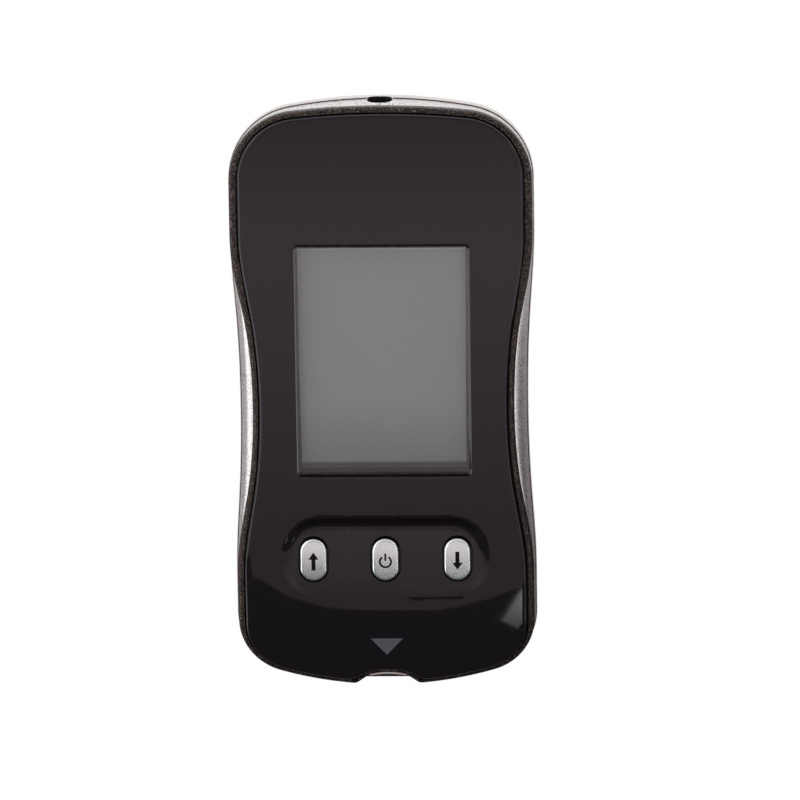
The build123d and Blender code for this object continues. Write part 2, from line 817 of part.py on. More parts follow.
with BuildPart() as keypad_mat:
    with BuildSketch(Plane.XY.offset(board_top)):
        with Locations((0, key_centre_y)):
            RectangleRounded(mat_width, mat_length, dome_radius)
    extrude(amount=mat_thickness)
    with BuildSketch(Plane.XY.offset(board_top)):
        with Locations(*key_places):
            Circle(dome_radius + 2 * loose_play)
    extrude(amount=dome_pocket_depth, mode=Mode.SUBTRACT)
    with BuildSketch(Plane.XY.offset(board_top + dome_height + loose_play)):
        with Locations(*key_places):
            Circle(plunger_radius)
    extrude(amount=mat_nub_top - board_top - dome_height - loose_play)
    with BuildSketch(Plane.XY.offset(board_top + mat_thickness)):
        with Locations(*key_places):
            SlotOverall(key_length - key_flange_lip, key_width - key_flange_lip, rotation=90)
    extrude(amount=mat_nub_top - board_top - mat_thickness)
keypad_mat.part.label = "keypad_mat"
export_step(keypad_mat.part, "parts/keypad_mat.step")

with BuildPart() as snap_domes:
    with Locations(*[(x, y, board_top) for x, y in key_places]):
        Cone(
            dome_radius,
            dome_radius - 2 * dome_height,
            dome_height,
            align=(Align.CENTER, Align.CENTER, Align.MIN),
        )
    fillet(snap_domes.edges().group_by(Axis.Z)[-1], radius=dome_height)
snap_domes.part.label = "snap_domes"
export_step(snap_domes.part, "parts/snap_domes.step")

# ------------------------------------------------------------------ main board
with BuildPart() as main_board:
    with BuildSketch(Plane.XY.offset(board_underside)):
        add(face_outline(board_inset))
        with Locations(*case_screw_places):
            Circle(boss_radius + boss_clearance, mode=Mode.SUBTRACT)
        with Locations(*board_screw_places):
            Circle(board_screw_radius + fit_play, mode=Mode.SUBTRACT)
        with Locations((0, socket_front)):
            Rectangle(
                socket_body_width + 2 * boss_clearance,
                2 * (socket_body_length + boss_clearance),
                mode=Mode.SUBTRACT,
            )
    extrude(amount=board_thickness)
main_board.part.label = "main_board"
export_step(main_board.part, "parts/main_board.step")

# ------------------------------------------------------------------ parts soldered to the board
with BuildPart() as buzzer:
    with BuildSketch(Plane.XY.offset(board_underside)):
        with Locations(buzzer_place):
            Circle(buzzer_radius)
    extrude(amount=-buzzer_height)
    fillet(buzzer.edges().group_by(Axis.Z)[0], radius=chip_height / 2)
    with BuildSketch(Plane.XY.offset(board_underside - buzzer_height)):
        with Locations(buzzer_place):
            Circle(plunger_radius)
    extrude(amount=buzzer_height / 2, mode=Mode.SUBTRACT)
buzzer.part.label = "buzzer"
export_step(buzzer.part, "parts/buzzer.step")

with BuildPart() as microcontroller:
    with BuildSketch(Plane.XY.offset(board_top)):
        with Locations(controller_place):
            Rectangle(controller_side, controller_side)
    extrude(amount=controller_height)
    chamfer(microcontroller.edges().group_by(Axis.Z)[-1], length=chip_height / 3)
microcontroller.part.label = "microcontroller"
export_step(microcontroller.part, "parts/microcontroller.step")

with BuildPart() as memory_chip:
    with BuildSketch(Plane.XY.offset(board_underside)):
        with Locations(memory_place):
            Rectangle(memory_width, memory_length)
    extrude(amount=-memory_height)
    chamfer(memory_chip.edges().group_by(Axis.Z)[0], length=chip_height / 3)
memory_chip.part.label = "memory_chip"
export_step(memory_chip.part, "parts/memory_chip.step")

with BuildPart() as crystal:
    with BuildSketch(Plane.XY.offset(board_underside)):
        with Locations(crystal_place):
            SlotOverall(crystal_length, 2 * crystal_radius)
    extrude(amount=-2 * crystal_radius)
    fillet(crystal.edges().group_by(Axis.Z)[0], radius=crystal_radius / 2)
crystal.part.label = "crystal"
export_step(crystal.part, "parts/crystal.step")

with BuildPart() as chip_components:
    with BuildSketch(Plane.XY.offset(board_underside)):
        with Locations((0, key_centre_y + chip_row_shift)):
            with GridLocations(chip_pitch, chip_pitch, chip_count, chip_rows):
                Rectangle(chip_length, chip_width)
    extrude(amount=-chip_height)
chip_components.part.label = "chip_components"
export_step(chip_components.part, "parts/chip_components.step")

# ------------------------------------------------------------------ strip port
with BuildPart() as strip_guide:
    with BuildSketch(Plane.XY.offset(guide_bottom)):
        with Locations((0, guide_end)):
            Rectangle(guide_width, guide_length, align=(Align.CENTER, Align.MIN))
    extrude(amount=guide_height)
    with BuildSketch(Plane.XY.offset(slot_floor)):
        with Locations((0, guide_end)):
            Rectangle(strip_slot_width, 2 * guide_length)
    extrude(amount=strip_slot_height, mode=Mode.SUBTRACT)
strip_guide.part.label = "strip_guide"
export_step(strip_guide.part, "parts/strip_guide.step")

with BuildPart() as strip_connector:
    with BuildSketch(Plane.XY.offset(board_top)):
        with Locations((0, connector_front)):
            Rectangle(connector_width, connector_length, align=(Align.CENTER, Align.MIN))
    extrude(amount=connector_height)
    with BuildSketch(Plane.XY.offset(slot_floor)):
        with Locations((0, connector_front)):
            Rectangle(strip_slot_width, 2 * (connector_length - case_wall))
    extrude(amount=strip_slot_height, mode=Mode.SUBTRACT)
    with BuildSketch(Plane.XY.offset(contact_level - fit_play)):
        with Locations((0, connector_front + connector_length)):
            with GridLocations(contact_pitch, contact_pitch, contact_count, 1):
                Rectangle(contact_width + 2 * fit_play, 2 * (connector_length - case_wall))
    extrude(amount=connector_height, mode=Mode.SUBTRACT)
strip_connector.part.label = "strip_connector"
export_step(strip_connector.part, "parts/strip_connector.step")

with BuildPart() as strip_contacts:
    with BuildSketch(Plane.YZ):
        with BuildLine():
            Polyline(
                (contact_back + contact_foot, board_top),
                (contact_back, board_top),
                (contact_back, contact_level),
                (connector_front + 2 * case_wall, contact_level),
                (connector_front + 2 * case_wall, contact_level + contact_thickness),
                (contact_back + contact_thickness, contact_level + contact_thickness),
                (contact_back + contact_thickness, board_top + contact_thickness),
                (contact_back + contact_foot, board_top + contact_thickness),
                close=True,
            )
        make_face()
    extrude(amount=contact_width / 2, both=True)
    contact_shape = strip_contacts.part
    for step in range(1, contact_count // 2 + 1):
        for side in (-1, 1):
            with Locations((side * step * contact_pitch, 0, 0)):
                add(contact_shape)
strip_contacts.part.label = "strip_contacts"
export_step(strip_contacts.part, "parts/strip_contacts.step")

# ------------------------------------------------------------------ data socket
with BuildPart() as data_jack:
    with BuildSketch(Plane.XY.offset(socket_level - socket_body_height / 2)):
        with Locations((0, socket_front)):
            Rectangle(socket_body_width, socket_body_length, align=(Align.CENTER, Align.MAX))
    extrude(amount=socket_body_height)
    with BuildSketch(Plane.XZ.offset(-socket_front)):
        with Locations((0, socket_level)):
            Circle(socket_bore_radius)
    extrude(amount=socket_bore_depth, mode=Mode.SUBTRACT)
data_jack.part.label = "data_jack"
export_step(data_jack.part, "parts/data_jack.step")

with BuildPart() as jack_contacts:
    with BuildSketch(Plane.XY.offset(board_top)):
        for side in (-1, 1):
            for step in range(2):
                tab_x = side * (socket_body_width / 2 + tab_reach) / 2
                with Locations((tab_x, socket_front - socket_tab_pitch * (step + 1))):
                    Rectangle(tab_reach - socket_body_width / 2, socket_tab_width)
    extrude(amount=contact_thickness)
jack_contacts.part.label = "jack_contacts"
export_step(jack_contacts.part, "parts/jack_contacts.step")

# ------------------------------------------------------------------ coin cells and contacts
for cell_name, cell_y in zip(("coin_cell_lower", "coin_cell_upper"), cell_ys):
    with BuildPart() as cell:
        with BuildSketch(Plane.XY.offset(cell_bottom)):
            with Locations((0, cell_y)):
                Circle(cell_radius)
        extrude(amount=cell_thickness - cell_cap_height)
        fillet(cell.edges().group_by(Axis.Z)[0], radius=cell_cap_height)
        with BuildSketch(Plane.XY.offset(cell_bottom + cell_thickness - cell_cap_height)):
            with Locations((0, cell_y)):
                Circle(cell_cap_radius)
        extrude(amount=cell_cap_height)
    cell.part.label = cell_name
    export_step(cell.part, f"parts/{cell_name}.step")

with BuildPart() as negative_contacts:
    with BuildSketch(Plane.YZ):
        for cell_y in cell_ys:
            with BuildLine():
                Polyline(
                    (cell_y + spring_touch, cell_top),
                    (cell_y, cell_top),
                    (cell_y - spring_run, board_underside - contact_thickness),
                    (cell_y - spring_run - spring_touch, board_underside - contact_thickness),
                    (cell_y - spring_run - spring_touch, board_underside),
                    (cell_y - spring_run, board_underside),
                    (cell_y, cell_top + contact_thickness),
                    (cell_y + spring_touch, cell_top + contact_thickness),
                    close=True,
                )
            make_face()
    extrude(amount=spring_width / 2, both=True)
negative_contacts.part.label = "negative_contacts"
export_step(negative_contacts.part, "parts/negative_contacts.step")

with BuildPart() as positive_contacts:
    with BuildSketch(Plane.YZ):
        for cell_y in cell_ys:
            leaf_y = cell_y - cell_radius - fit_play
            with BuildLine():
                Polyline(
                    (leaf_y, door_ceiling + contact_foot),
                    (leaf_y, board_underside),
                    (leaf_y - spring_touch, board_underside),
                    (leaf_y - spring_touch, board_underside - contact_thickness),
                    (leaf_y - contact_thickness, board_underside - contact_thickness),
                    (leaf_y - contact_thickness, door_ceiling + contact_foot),
                    close=True,
                )
            make_face()
    extrude(amount=spring_width / 2, both=True)
positive_contacts.part.label = "positive_contacts"
export_step(positive_contacts.part, "parts/positive_contacts.step")

# ------------------------------------------------------------------ battery door
with BuildPart() as door_blank:
    with BuildSketch():
        with Locations((0, door_start + door_play)):
            Rectangle(door_width, body_length, align=(Align.CENTER, Align.MIN))
    extrude(amount=door_thickness)
    with BuildSketch(Plane.XY.offset(rail_lip + loose_play)):
        with Locations((0, door_start + door_play)):
            Rectangle(
                door_width + 2 * (rail_depth - loose_play), body_length, align=(Align.CENTER, Align.MIN)
            )
    extrude(amount=door_thickness - rail_lip - loose_play)

with BuildPart() as battery_door:
    add(door_blank.part)
    add(tub(0.0, 0.0, back_edge_radius), mode=Mode.INTERSECT)
    with BuildSketch(Plane.XY.offset(door_thickness - pad_thickness)):
        with Locations((0, bay_centre_y)):
            RectangleRounded(pad_width + 2 * fit_play, pad_length + 2 * fit_play, bay_corner)
    extrude(amount=pad_thickness, mode=Mode.SUBTRACT)
    with BuildSketch():
        with Locations((0, body_end - ridge_from_socket_end)):
            with GridLocations(ridge_pitch, ridge_pitch, 1, ridge_count):
                SlotOverall(ridge_length, ridge_width)
    extrude(amount=ridge_depth, mode=Mode.SUBTRACT)
battery_door.part.label = "battery_door"
export_step(battery_door.part, "parts/battery_door.step")

with BuildPart() as battery_pad:
    with BuildSketch(Plane.XY.offset(door_thickness - pad_thickness)):
        with Locations((0, bay_centre_y)):
            RectangleRounded(pad_width, pad_length, bay_corner)
    extrude(amount=pad_thickness)
battery_pad.part.label = "battery_pad"
export_step(battery_pad.part, "parts/battery_pad.step")

# ------------------------------------------------------------------ screws and label
with BuildPart() as case_screws:
    with BuildSketch(Plane.XY.offset(screw_well_depth)):
        with Locations(*case_screw_places):
            Circle(screw_radius)
    extrude(amount=screw_length)
    with BuildSketch(Plane.XY.offset(screw_well_depth)):
        with Locations(*case_screw_places):
            Circle(screw_head_radius)
    extrude(amount=-screw_head_height)
    with BuildSketch(Plane.XY.offset(screw_well_depth - screw_head_height)):
        with Locations(*case_screw_places):
            Rectangle(screw_head_radius, contact_width)
            Rectangle(contact_width, screw_head_radius)
    extrude(amount=screw_head_height / 2, mode=Mode.SUBTRACT)
case_screws.part.label = "case_screws"
export_step(case_screws.part, "parts/case_screws.step")

with BuildPart() as board_screws:
    with BuildSketch(Plane.XY.offset(board_top)):
        with Locations(*board_screw_places):
            Circle(board_screw_radius)
    extrude(amount=-board_screw_length)
    with BuildSketch(Plane.XY.offset(board_top)):
        with Locations(*board_screw_places):
            Circle(board_screw_head_radius)
    extrude(amount=board_screw_radius)
board_screws.part.label = "board_screws"
export_step(board_screws.part, "parts/board_screws.step")

with BuildPart() as rear_label:
    with BuildSketch(Plane.XY.offset(label_recess - label_thickness)):
        with Locations((0, label_centre_y)):
            RectangleRounded(label_width, label_length, label_corner - loose_play)
    extrude(amount=label_thickness)
rear_label.part.label = "rear_label"
export_step(rear_label.part, "parts/rear_label.step")
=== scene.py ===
"""Looks of a handheld blood glucose meter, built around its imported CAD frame.

The meter lies on its back with its face up. The data socket is at the +Y end and the strip port
at the -Y end. The sections follow the meter as it is put together, after the studio it is seen
in. Sizes are in millimetres and are scaled to metres where a mesh or a lamp is made.
"""
from math import cos, pi, radians, sin

import bmesh
import bpy
import numpy as np
from mathutils import Matrix, Vector
from mathutils.geometry import delaunay_2d_cdt


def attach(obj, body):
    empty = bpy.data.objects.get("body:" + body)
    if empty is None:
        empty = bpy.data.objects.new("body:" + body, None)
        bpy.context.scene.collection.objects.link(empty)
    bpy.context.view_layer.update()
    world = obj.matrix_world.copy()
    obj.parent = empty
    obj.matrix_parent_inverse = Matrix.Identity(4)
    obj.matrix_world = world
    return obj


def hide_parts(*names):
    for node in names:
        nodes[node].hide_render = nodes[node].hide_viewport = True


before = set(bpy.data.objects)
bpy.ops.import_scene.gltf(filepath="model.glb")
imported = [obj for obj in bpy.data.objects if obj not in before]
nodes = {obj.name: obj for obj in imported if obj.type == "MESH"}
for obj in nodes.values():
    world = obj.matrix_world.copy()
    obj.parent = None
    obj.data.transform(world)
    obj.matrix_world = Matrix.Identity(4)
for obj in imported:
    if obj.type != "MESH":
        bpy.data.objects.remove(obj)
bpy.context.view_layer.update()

# ================================================================== studio
# A white table inside a low round wall that is lit at both sides and past the socket end. One
# overhead panel hangs over the meter. Beyond its near edge the room is dark, which gives a gloss
# face a dark foot below a curved horizon.
MM = 0.001
crease = radians(32)                   # an edge that turns more than this is kept sharp
scene = bpy.context.scene


def feed(tree, socket, value):
    """Gives a socket its value, or joins it to the socket that feeds it."""
    if isinstance(value, bpy.types.NodeSocket):
        tree.links.new(value, socket)
    else:
        socket.default_value = value


def put(tree, kind, inputs=(), **settings):
    """Adds one shader node with its settings and its inputs, which are named or numbered."""
    made = tree.nodes.new("ShaderNode" + kind)
    for key, value in settings.items():
        setattr(made, key, value)
    for key, value in dict(inputs).items():
        feed(tree, made.inputs[key], value)
    return made


def math_node(tree, operation, first, second=0.0):
    """The result of one math node."""
    return put(tree, "Math", {0: first, 1: second}, operation=operation).outputs[0]


def ramp_value(tree, value, low, high, to_low=0.0, to_high=1.0):
    """A value carried smoothly from one range to another."""
    return put(
        tree,
        "MapRange",
        {0: value, 1: low, 2: high, 3: to_low, 4: to_high},
        interpolation_type="SMOOTHSTEP",
    ).outputs[0]


def blank_material(name):
    """An empty node material, and its output node."""
    material = bpy.data.materials.new(name)
    material.use_nodes = True
    material.node_tree.nodes.clear()
    return material, material.node_tree.nodes.new("ShaderNodeOutputMaterial")


def place_parts(tree):
    """Object coordinates in millimetres, one output for each axis."""
    where = put(tree, "TexCoord").outputs["Object"]
    split = put(tree, "SeparateXYZ", {0: where})
    return [math_node(tree, "MULTIPLY", split.outputs[axis], 1 / MM) for axis in range(3)]


def mesh_object(name, points, faces, material):
    """A mesh piece from points in millimetres and lists of faces, smooth up to its creases."""
    mesh = bpy.data.meshes.new(name)
    mesh.from_pydata((np.asarray(points, float) * MM).tolist(), [], faces)
    mesh.shade_smooth()
    mesh.set_sharp_from_angle(angle=crease)
    mesh.materials.append(material)
    made = bpy.data.objects.new(name, mesh)
    scene.collection.objects.link(made)
    return made


def raised(plan, height):
    """Plan points with a height, which is one number or a number for each point."""
    return np.column_stack([plan, np.full(len(plan), height)])


camera_tilt, camera_side, camera_roll = radians(14.04), radians(2.10), radians(0.84)
camera_distance = 1200.0
camera_focal_px = 7743.0
frame_px = 800.0
aim_level = 8.0
aim_right, aim_up = 2.40, -1.70

toward = Vector(
    (sin(camera_side) * cos(camera_tilt), sin(camera_tilt), cos(camera_side) * cos(camera_tilt))
).normalized()
level_right = Vector((0, 1, 0)).cross(toward).normalized()
level_up = toward.cross(level_right)
right = level_right * cos(camera_roll) - level_up * sin(camera_roll)
up = level_right * sin(camera_roll) + level_up * cos(camera_roll)
aim = (Vector((0, 0, aim_level)) + right * aim_right + up * aim_up) * MM
camera = bpy.data.objects.new("camera", bpy.data.cameras.new("camera"))
scene.collection.objects.link(camera)
turned = Matrix((right, up, toward)).transposed().to_4x4()
camera.matrix_world = Matrix.Translation(aim + toward * camera_distance * MM) @ turned
camera.data.sensor_width = 36.0
camera.data.lens = camera_focal_px / frame_px * camera.data.sensor_width
scene.camera = camera
scene.view_settings.view_transform = "Standard"

table_half, table_level = 2600.0, -0.05
table_white = 0.45
table_light = 1.06
table_glow = 0.935                     # share of plain light in what the camera sees of the table
lit_from, lit_to = 5.0, 42.0           # Y over which reflections of the table get brighter
table_material, table_output = blank_material("table_white")
tree = table_material.node_tree
rays = put(tree, "LightPath")
_, along, _ = place_parts(tree)
mirrored = math_node(
    tree, "MULTIPLY", rays.outputs["Is Glossy Ray"], ramp_value(tree, along, lit_from, lit_to)
)
seen = math_node(tree, "MAXIMUM", rays.outputs["Is Camera Ray"], mirrored)
seen = math_node(tree, "MULTIPLY", seen, table_glow)
matt = put(tree, "BsdfDiffuse", {"Color": (table_white, table_white, table_white, 1)})
glow = put(tree, "Emission", {"Color": (1, 1, 1, 1), "Strength": table_light})
table_mix = put(tree, "MixShader", {0: seen, 1: matt.outputs[0], 2: glow.outputs[0]})
feed(tree, table_output.inputs["Surface"], table_mix.outputs[0])
table_corners = [
    (x * table_half, y * table_half, table_level) for x, y in ((-1, -1), (1, -1), (1, 1), (-1, 1))
]
table = mesh_object("table", table_corners, [(0, 1, 2, 3)], table_material)

dim_room = 0.12
world = bpy.data.worlds.new("room")
scene.world = world
world.use_nodes = True
tree = world.node_tree
tree.nodes.clear()
rays = put(tree, "LightPath")
around = put(tree, "Background", {"Color": (0.93, 0.94, 1.0, 1), "Strength": dim_room})
backdrop = put(tree, "Background", {"Color": (1, 1, 1, 1), "Strength": 1.0})
through = math_node(
    tree, "MAXIMUM", rays.outputs["Is Camera Ray"], rays.outputs["Is Transmission Ray"]
)
world_mix = put(tree, "MixShader", {0: through, 1: around.outputs[0], 2: backdrop.outputs[0]})
world_output = tree.nodes.new("ShaderNodeOutputWorld")
feed(tree, world_output.inputs["Surface"], world_mix.outputs[0])


def glowing_card(name, points, faces, tint, strength=1.0):
    """A lit card that the camera itself doesn't see, with its tree and its light."""
    material, output = blank_material(name)
    lit = put(material.node_tree, "Emission", {"Color": (*tint, 1), "Strength": strength})
    feed(material.node_tree, output.inputs["Surface"], lit.outputs[0])
    card = mesh_object(name, points, faces, material)
    card.visible_camera = False
    return material.node_tree, lit


# The overhead panel. Its near edge bows out towards the strip end, over the middle of the meter.
# It is brightest over the window, dimmer towards the keys and past the socket end, and dark across
# one gap. Each ramp gives where it starts and ends, and how bright the panel is there.
panel_height = 260.0
panel_far, panel_half = 620.0, 420.0
near_x = (-panel_half, -150, -60, -45, -40, -34, -29, -24, -18, -10, 3, 9, 16, 21, 25, 60, 150,
          panel_half)
near_y = (-84, -86, -90, -94, -103, -127, -136, -144, -147, -148, -148, -141, -130, -119, -112,
          -108, -100, -100)
bow_half, panel_steps = 70.0, 141
panel_x = np.unique(
    np.concatenate([np.linspace(-half, half, panel_steps) for half in (panel_half, bow_half)])
)
panel_edge = np.column_stack([panel_x, np.interp(panel_x, near_x, near_y)])
far_edge = np.column_stack([panel_x, np.full_like(panel_x, panel_far)])
panel_points = raised(np.concatenate([panel_edge, far_edge]), panel_height)
panel_count = len(panel_x)
panel_faces = [(i, i + panel_count, i + panel_count + 1, i + 1) for i in range(panel_count - 1)]
tree, lit = glowing_card("overhead_panel", panel_points, panel_faces, (1.0, 0.86, 0.94))
across, along, _ = place_parts(tree)
towards_window = ramp_value(tree, along, -96.0, -34.0, 0.53, 0.98)
past_window = ramp_value(tree, along, -31.0, -4.0, 1.0, 0.66)
to_left = ramp_value(tree, across, -260.0, -110.0, 1.7, 1.0)
to_right = ramp_value(tree, across, 110.0, 260.0, 1.0, 0.6)
gap_opens = ramp_value(tree, along, 66.0, 84.0, 0.0, 1.0)
gap_closes = ramp_value(tree, along, 132.0, 150.0, 1.0, 0.0)
fore = math_node(tree, "MULTIPLY", towards_window, past_window)
in_gap = math_node(tree, "MULTIPLY", gap_opens, gap_closes)
fore = math_node(tree, "MULTIPLY", fore, math_node(tree, "SUBTRACT", 1.0, in_gap))
sideways = math_node(tree, "MULTIPLY", to_left, to_right)
feed(tree, lit.inputs["Strength"], math_node(tree, "MULTIPLY", fore, sideways))

# Two small cards make the patch of light in the lower right corner of the face and the spot at
# the left end of the scooped rest. A brighter band hangs along each side, wide at the left and
# narrow at the right.
small_height, band_height = 250.0, 258.0
one_face = [(0, 1, 2, 3)]
corner_card = raised([(24.0, -109), (27.5, -118), (23.6, -178), (18.5, -161)], small_height)
spot_card = raised([(113, -150), (123, -143), (123, -180), (113, -188)], small_height)
left_band = raised([(-250, -92), (-150, -92), (-150, 120), (-250, 120)], band_height)
right_band = raised([(160, -185), (205, -185), (205, 110), (160, 110)], band_height)
tree, lit = glowing_card("corner_card", corner_card, one_face, (1.0, 0.98, 0.96))
_, along, _ = place_parts(tree)
feed(tree, lit.inputs["Strength"], ramp_value(tree, along, -172.0, -120.0, 1.6, 4.0))
glowing_card("spot_card", spot_card, one_face, (1.0, 1.0, 1.0), 3.5)
glowing_card("left_band", left_band, one_face, (1.0, 0.97, 0.96), 3.0)
glowing_card("right_band", right_band, one_face, (1.0, 0.98, 0.96), 3.4)

# Black cards that stand on the table keep the sides of the meter darker towards the table.
black_card, card_output = blank_material("black_card")
feed(
    black_card.node_tree,
    card_output.inputs["Surface"],
    put(black_card.node_tree, "BsdfDiffuse", {"Color": (0.01, 0.01, 0.01, 1)}).outputs[0],
)
flag_near = -55.0
for flag_name, flag_x, flag_far, flag_top in (
    ("left_flag", -46.0, 16.0, 8.0), ("right_flag", 46.0, 2.0, 27.0)
):
    flag_feet = np.array([(flag_x, flag_near), (flag_x, flag_far)])
    flag_points = np.concatenate([raised(flag_feet, 0), raised(flag_feet[::-1], flag_top)])
    flag = mesh_object(flag_name, flag_points, one_face, black_card)
    flag.visible_camera = False

# The round wall is bright past the socket end and at the left, dimmer at the right, and dark
# behind the strip end. Its brightness follows how far to the left and how far forward it is.
wall_radius, wall_height, wall_count = 2500.0, 1700.0, 96
wall_turn = np.linspace(0, 2 * pi, wall_count, endpoint=False)
wall_ring = np.column_stack([np.cos(wall_turn), np.sin(wall_turn)]) * wall_radius
wall_points = np.concatenate([raised(wall_ring, level) for level in (0.0, wall_height)])
wall_faces = [
    (i, (i + 1) % wall_count, (i + 1) % wall_count + wall_count, i + wall_count)
    for i in range(wall_count)
]
tree, lit = glowing_card("lit_wall", wall_points, wall_faces, (1.0, 0.985, 0.965))
across, along, _ = place_parts(tree)
leftward = math_node(tree, "MULTIPLY", across, -1 / wall_radius)
forward = math_node(tree, "MULTIPLY", along, 1 / wall_radius)
at_left = ramp_value(tree, leftward, 0.1, 0.85, 0.0, 1.5)
at_right = ramp_value(tree, leftward, -0.85, -0.1, 0.7, 0.0)
off_strip_end = ramp_value(tree, forward, -0.75, -0.40)
strip_corners = ramp_value(tree, forward, -0.45, -0.15, 2.0, 1.0)
past_socket = ramp_value(tree, forward, 0.1, 0.75, 0.03, 1.6)
sides = math_node(tree, "ADD", at_left, at_right)
sides = math_node(tree, "MULTIPLY", sides, off_strip_end)
sides = math_node(tree, "MULTIPLY", sides, strip_corners)
feed(tree, lit.inputs["Strength"], math_node(tree, "ADD", sides, past_socket))

# ================================================================== rear case
# Moulded ABS tub that holds the board and the cells, sprayed with satin silver paint full of
# fine metal flake. The three shells are screwed together from behind.
def effect_group(name, inputs, outputs):
    """A new shader node group, its input node and its output node."""
    group = bpy.data.node_groups.new(name, "ShaderNodeTree")
    for label, kind in inputs:
        group.interface.new_socket(name=label, in_out="INPUT", socket_type="NodeSocket" + kind)
    for label, kind in outputs:
        group.interface.new_socket(name=label, in_out="OUTPUT", socket_type="NodeSocket" + kind)
    return group, group.nodes.new("NodeGroupInput"), group.nodes.new("NodeGroupOutput")


def mix_colour(tree, share, first, second):
    """A blend of two colours."""
    blend = put(tree, "Mix", data_type="RGBA")
    feed(tree, blend.inputs[0], share)
    feed(tree, blend.inputs[6], first)
    feed(tree, blend.inputs[7], second)
    return blend.outputs[2]


# Metal flake: each small cell of the paint gets its own tone. Cells drawn to the glint colour are
# painted glints, and cells drawn to the dull colour are painted shade, for flakes that catch the
# light or turn from it. Height follows the cell, for a bump.
flake, given, result = effect_group(
    "metal_flake",
    [("Vector", "Vector"), ("Scale", "Float"), ("Base", "Color"), ("Glint", "Color"),
     ("Dull", "Color"), ("Amount", "Float")],
    [("Color", "Color"), ("Height", "Float"), ("Roughness", "Float")],
)
cells = put(
    flake, "TexVoronoi", {"Vector": given.outputs["Vector"], "Scale": given.outputs["Scale"]}
)
tilt = put(flake, "SeparateColor", {0: cells.outputs["Color"]})
clouds = put(
    flake,
    "TexNoise",
    {"Vector": given.outputs["Vector"], "Scale": 2200.0, "Detail": 3.0, "Roughness": 0.6},
)
glint_from = math_node(flake, "SUBTRACT", 1.0, given.outputs["Amount"])
glint = ramp_value(flake, tilt.outputs[0], glint_from, 1.0)
dull = ramp_value(flake, tilt.outputs[1], glint_from, 1.0)
toned = mix_colour(flake, dull, given.outputs["Base"], given.outputs["Dull"])
flecked = mix_colour(flake, glint, toned, given.outputs["Glint"])
cloud_share = ramp_value(flake, clouds.outputs[0], 0.3, 0.9, 0.0, 0.12)
feed(flake, result.inputs["Color"], mix_colour(flake, cloud_share, flecked, given.outputs["Dull"]))
feed(flake, result.inputs["Height"], tilt.outputs[2])
feed(flake, result.inputs["Roughness"], ramp_value(flake, tilt.outputs[2], 0.0, 1.0, 0.26, 0.46))

# Handling: faint smears that change the gloss, and sparse specks of settled dust.
handling, given, result = effect_group(
    "handling",
    [("Vector", "Vector"), ("Color", "Color"), ("Roughness", "Float"), ("Smear", "Float"),
     ("Dust", "Float")],
    [("Color", "Color"), ("Roughness", "Float")],
)
smears = put(
    handling,
    "TexNoise",
    {"Vector": given.outputs["Vector"], "Scale": 130.0, "Detail": 4.0, "Roughness": 0.55,
     "Distortion": 0.8},
)
specks = put(handling, "TexVoronoi", {"Vector": given.outputs["Vector"], "Scale": 700.0})
speck_size = put(handling, "SeparateColor", {0: specks.outputs["Color"]})
speck_reach = ramp_value(handling, speck_size.outputs[0], 0.93, 1.0, 0.0, 0.10)
speck = math_node(handling, "LESS_THAN", specks.outputs["Distance"], speck_reach)
dusty = math_node(handling, "MULTIPLY", speck, given.outputs["Dust"])
speckled = mix_colour(handling, dusty, given.outputs["Color"], (0.42, 0.41, 0.39, 1))
feed(handling, result.inputs["Color"], speckled)
smear_share = ramp_value(handling, smears.outputs[0], 0.4, 0.75)
smear_depth = math_node(handling, "MULTIPLY", smear_share, given.outputs["Smear"])
smeared = math_node(handling, "ADD", given.outputs["Roughness"], smear_depth)
feed(handling, result.inputs["Roughness"], math_node(handling, "MAXIMUM", smeared, dusty))

# Moulded grain: a fine pebbled texture from the tool, for bump and for a broken-up gloss.
grain, given, result = effect_group(
    "moulded_grain",
    [("Vector", "Vector"), ("Scale", "Float"), ("Color", "Color"), ("Shade", "Color"),
     ("Roughness", "Float"), ("Swing", "Float")],
    [("Color", "Color"), ("Height", "Float"), ("Roughness", "Float")],
)
pebbles = put(
    grain,
    "TexNoise",
    {"Vector": given.outputs["Vector"], "Scale": given.outputs["Scale"], "Detail": 3.0,
     "Roughness": 0.6},
)
drift = put(grain, "TexNoise", {"Vector": given.outputs["Vector"], "Scale": 160.0, "Detail": 2.0})
pebble = ramp_value(grain, pebbles.outputs[0], 0.3, 0.7)
shade = ramp_value(grain, drift.outputs[0], 0.35, 0.7, 0.0, 0.7)
drifted = mix_colour(grain, shade, given.outputs["Color"], given.outputs["Shade"])
feed(grain, result.inputs["Color"], drifted)
feed(grain, result.inputs["Height"], pebble)
swung = math_node(grain, "MULTIPLY", pebble, given.outputs["Swing"])
feed(grain, result.inputs["Roughness"], math_node(grain, "ADD", given.outputs["Roughness"], swung))


def handled_skin(tree, where, colour, roughness, smear, dust):
    """A colour and a roughness with the marks of handling on them."""
    return put(
        tree,
        "Group",
        {"Vector": where, "Color": colour, "Roughness": roughness, "Smear": smear, "Dust": dust},
        node_tree=handling,
    )


def grained_skin(tree, where, grain_mm, colour, shade, roughness, swing):
    """Moulded grain whose colour drifts towards a shade and whose roughness swings."""
    return put(
        tree,
        "Group",
        {"Vector": where, "Scale": 1 / (grain_mm * MM), "Color": (*colour, 1),
         "Shade": (*shade, 1), "Roughness": roughness, "Swing": swing},
        node_tree=grain,
    )


def bumped(tree, height, depth_mm):
    """The normal of a surface whose relief is depth_mm deep."""
    return put(tree, "Bump", {"Height": height, "Distance": depth_mm * MM}).outputs["Normal"]


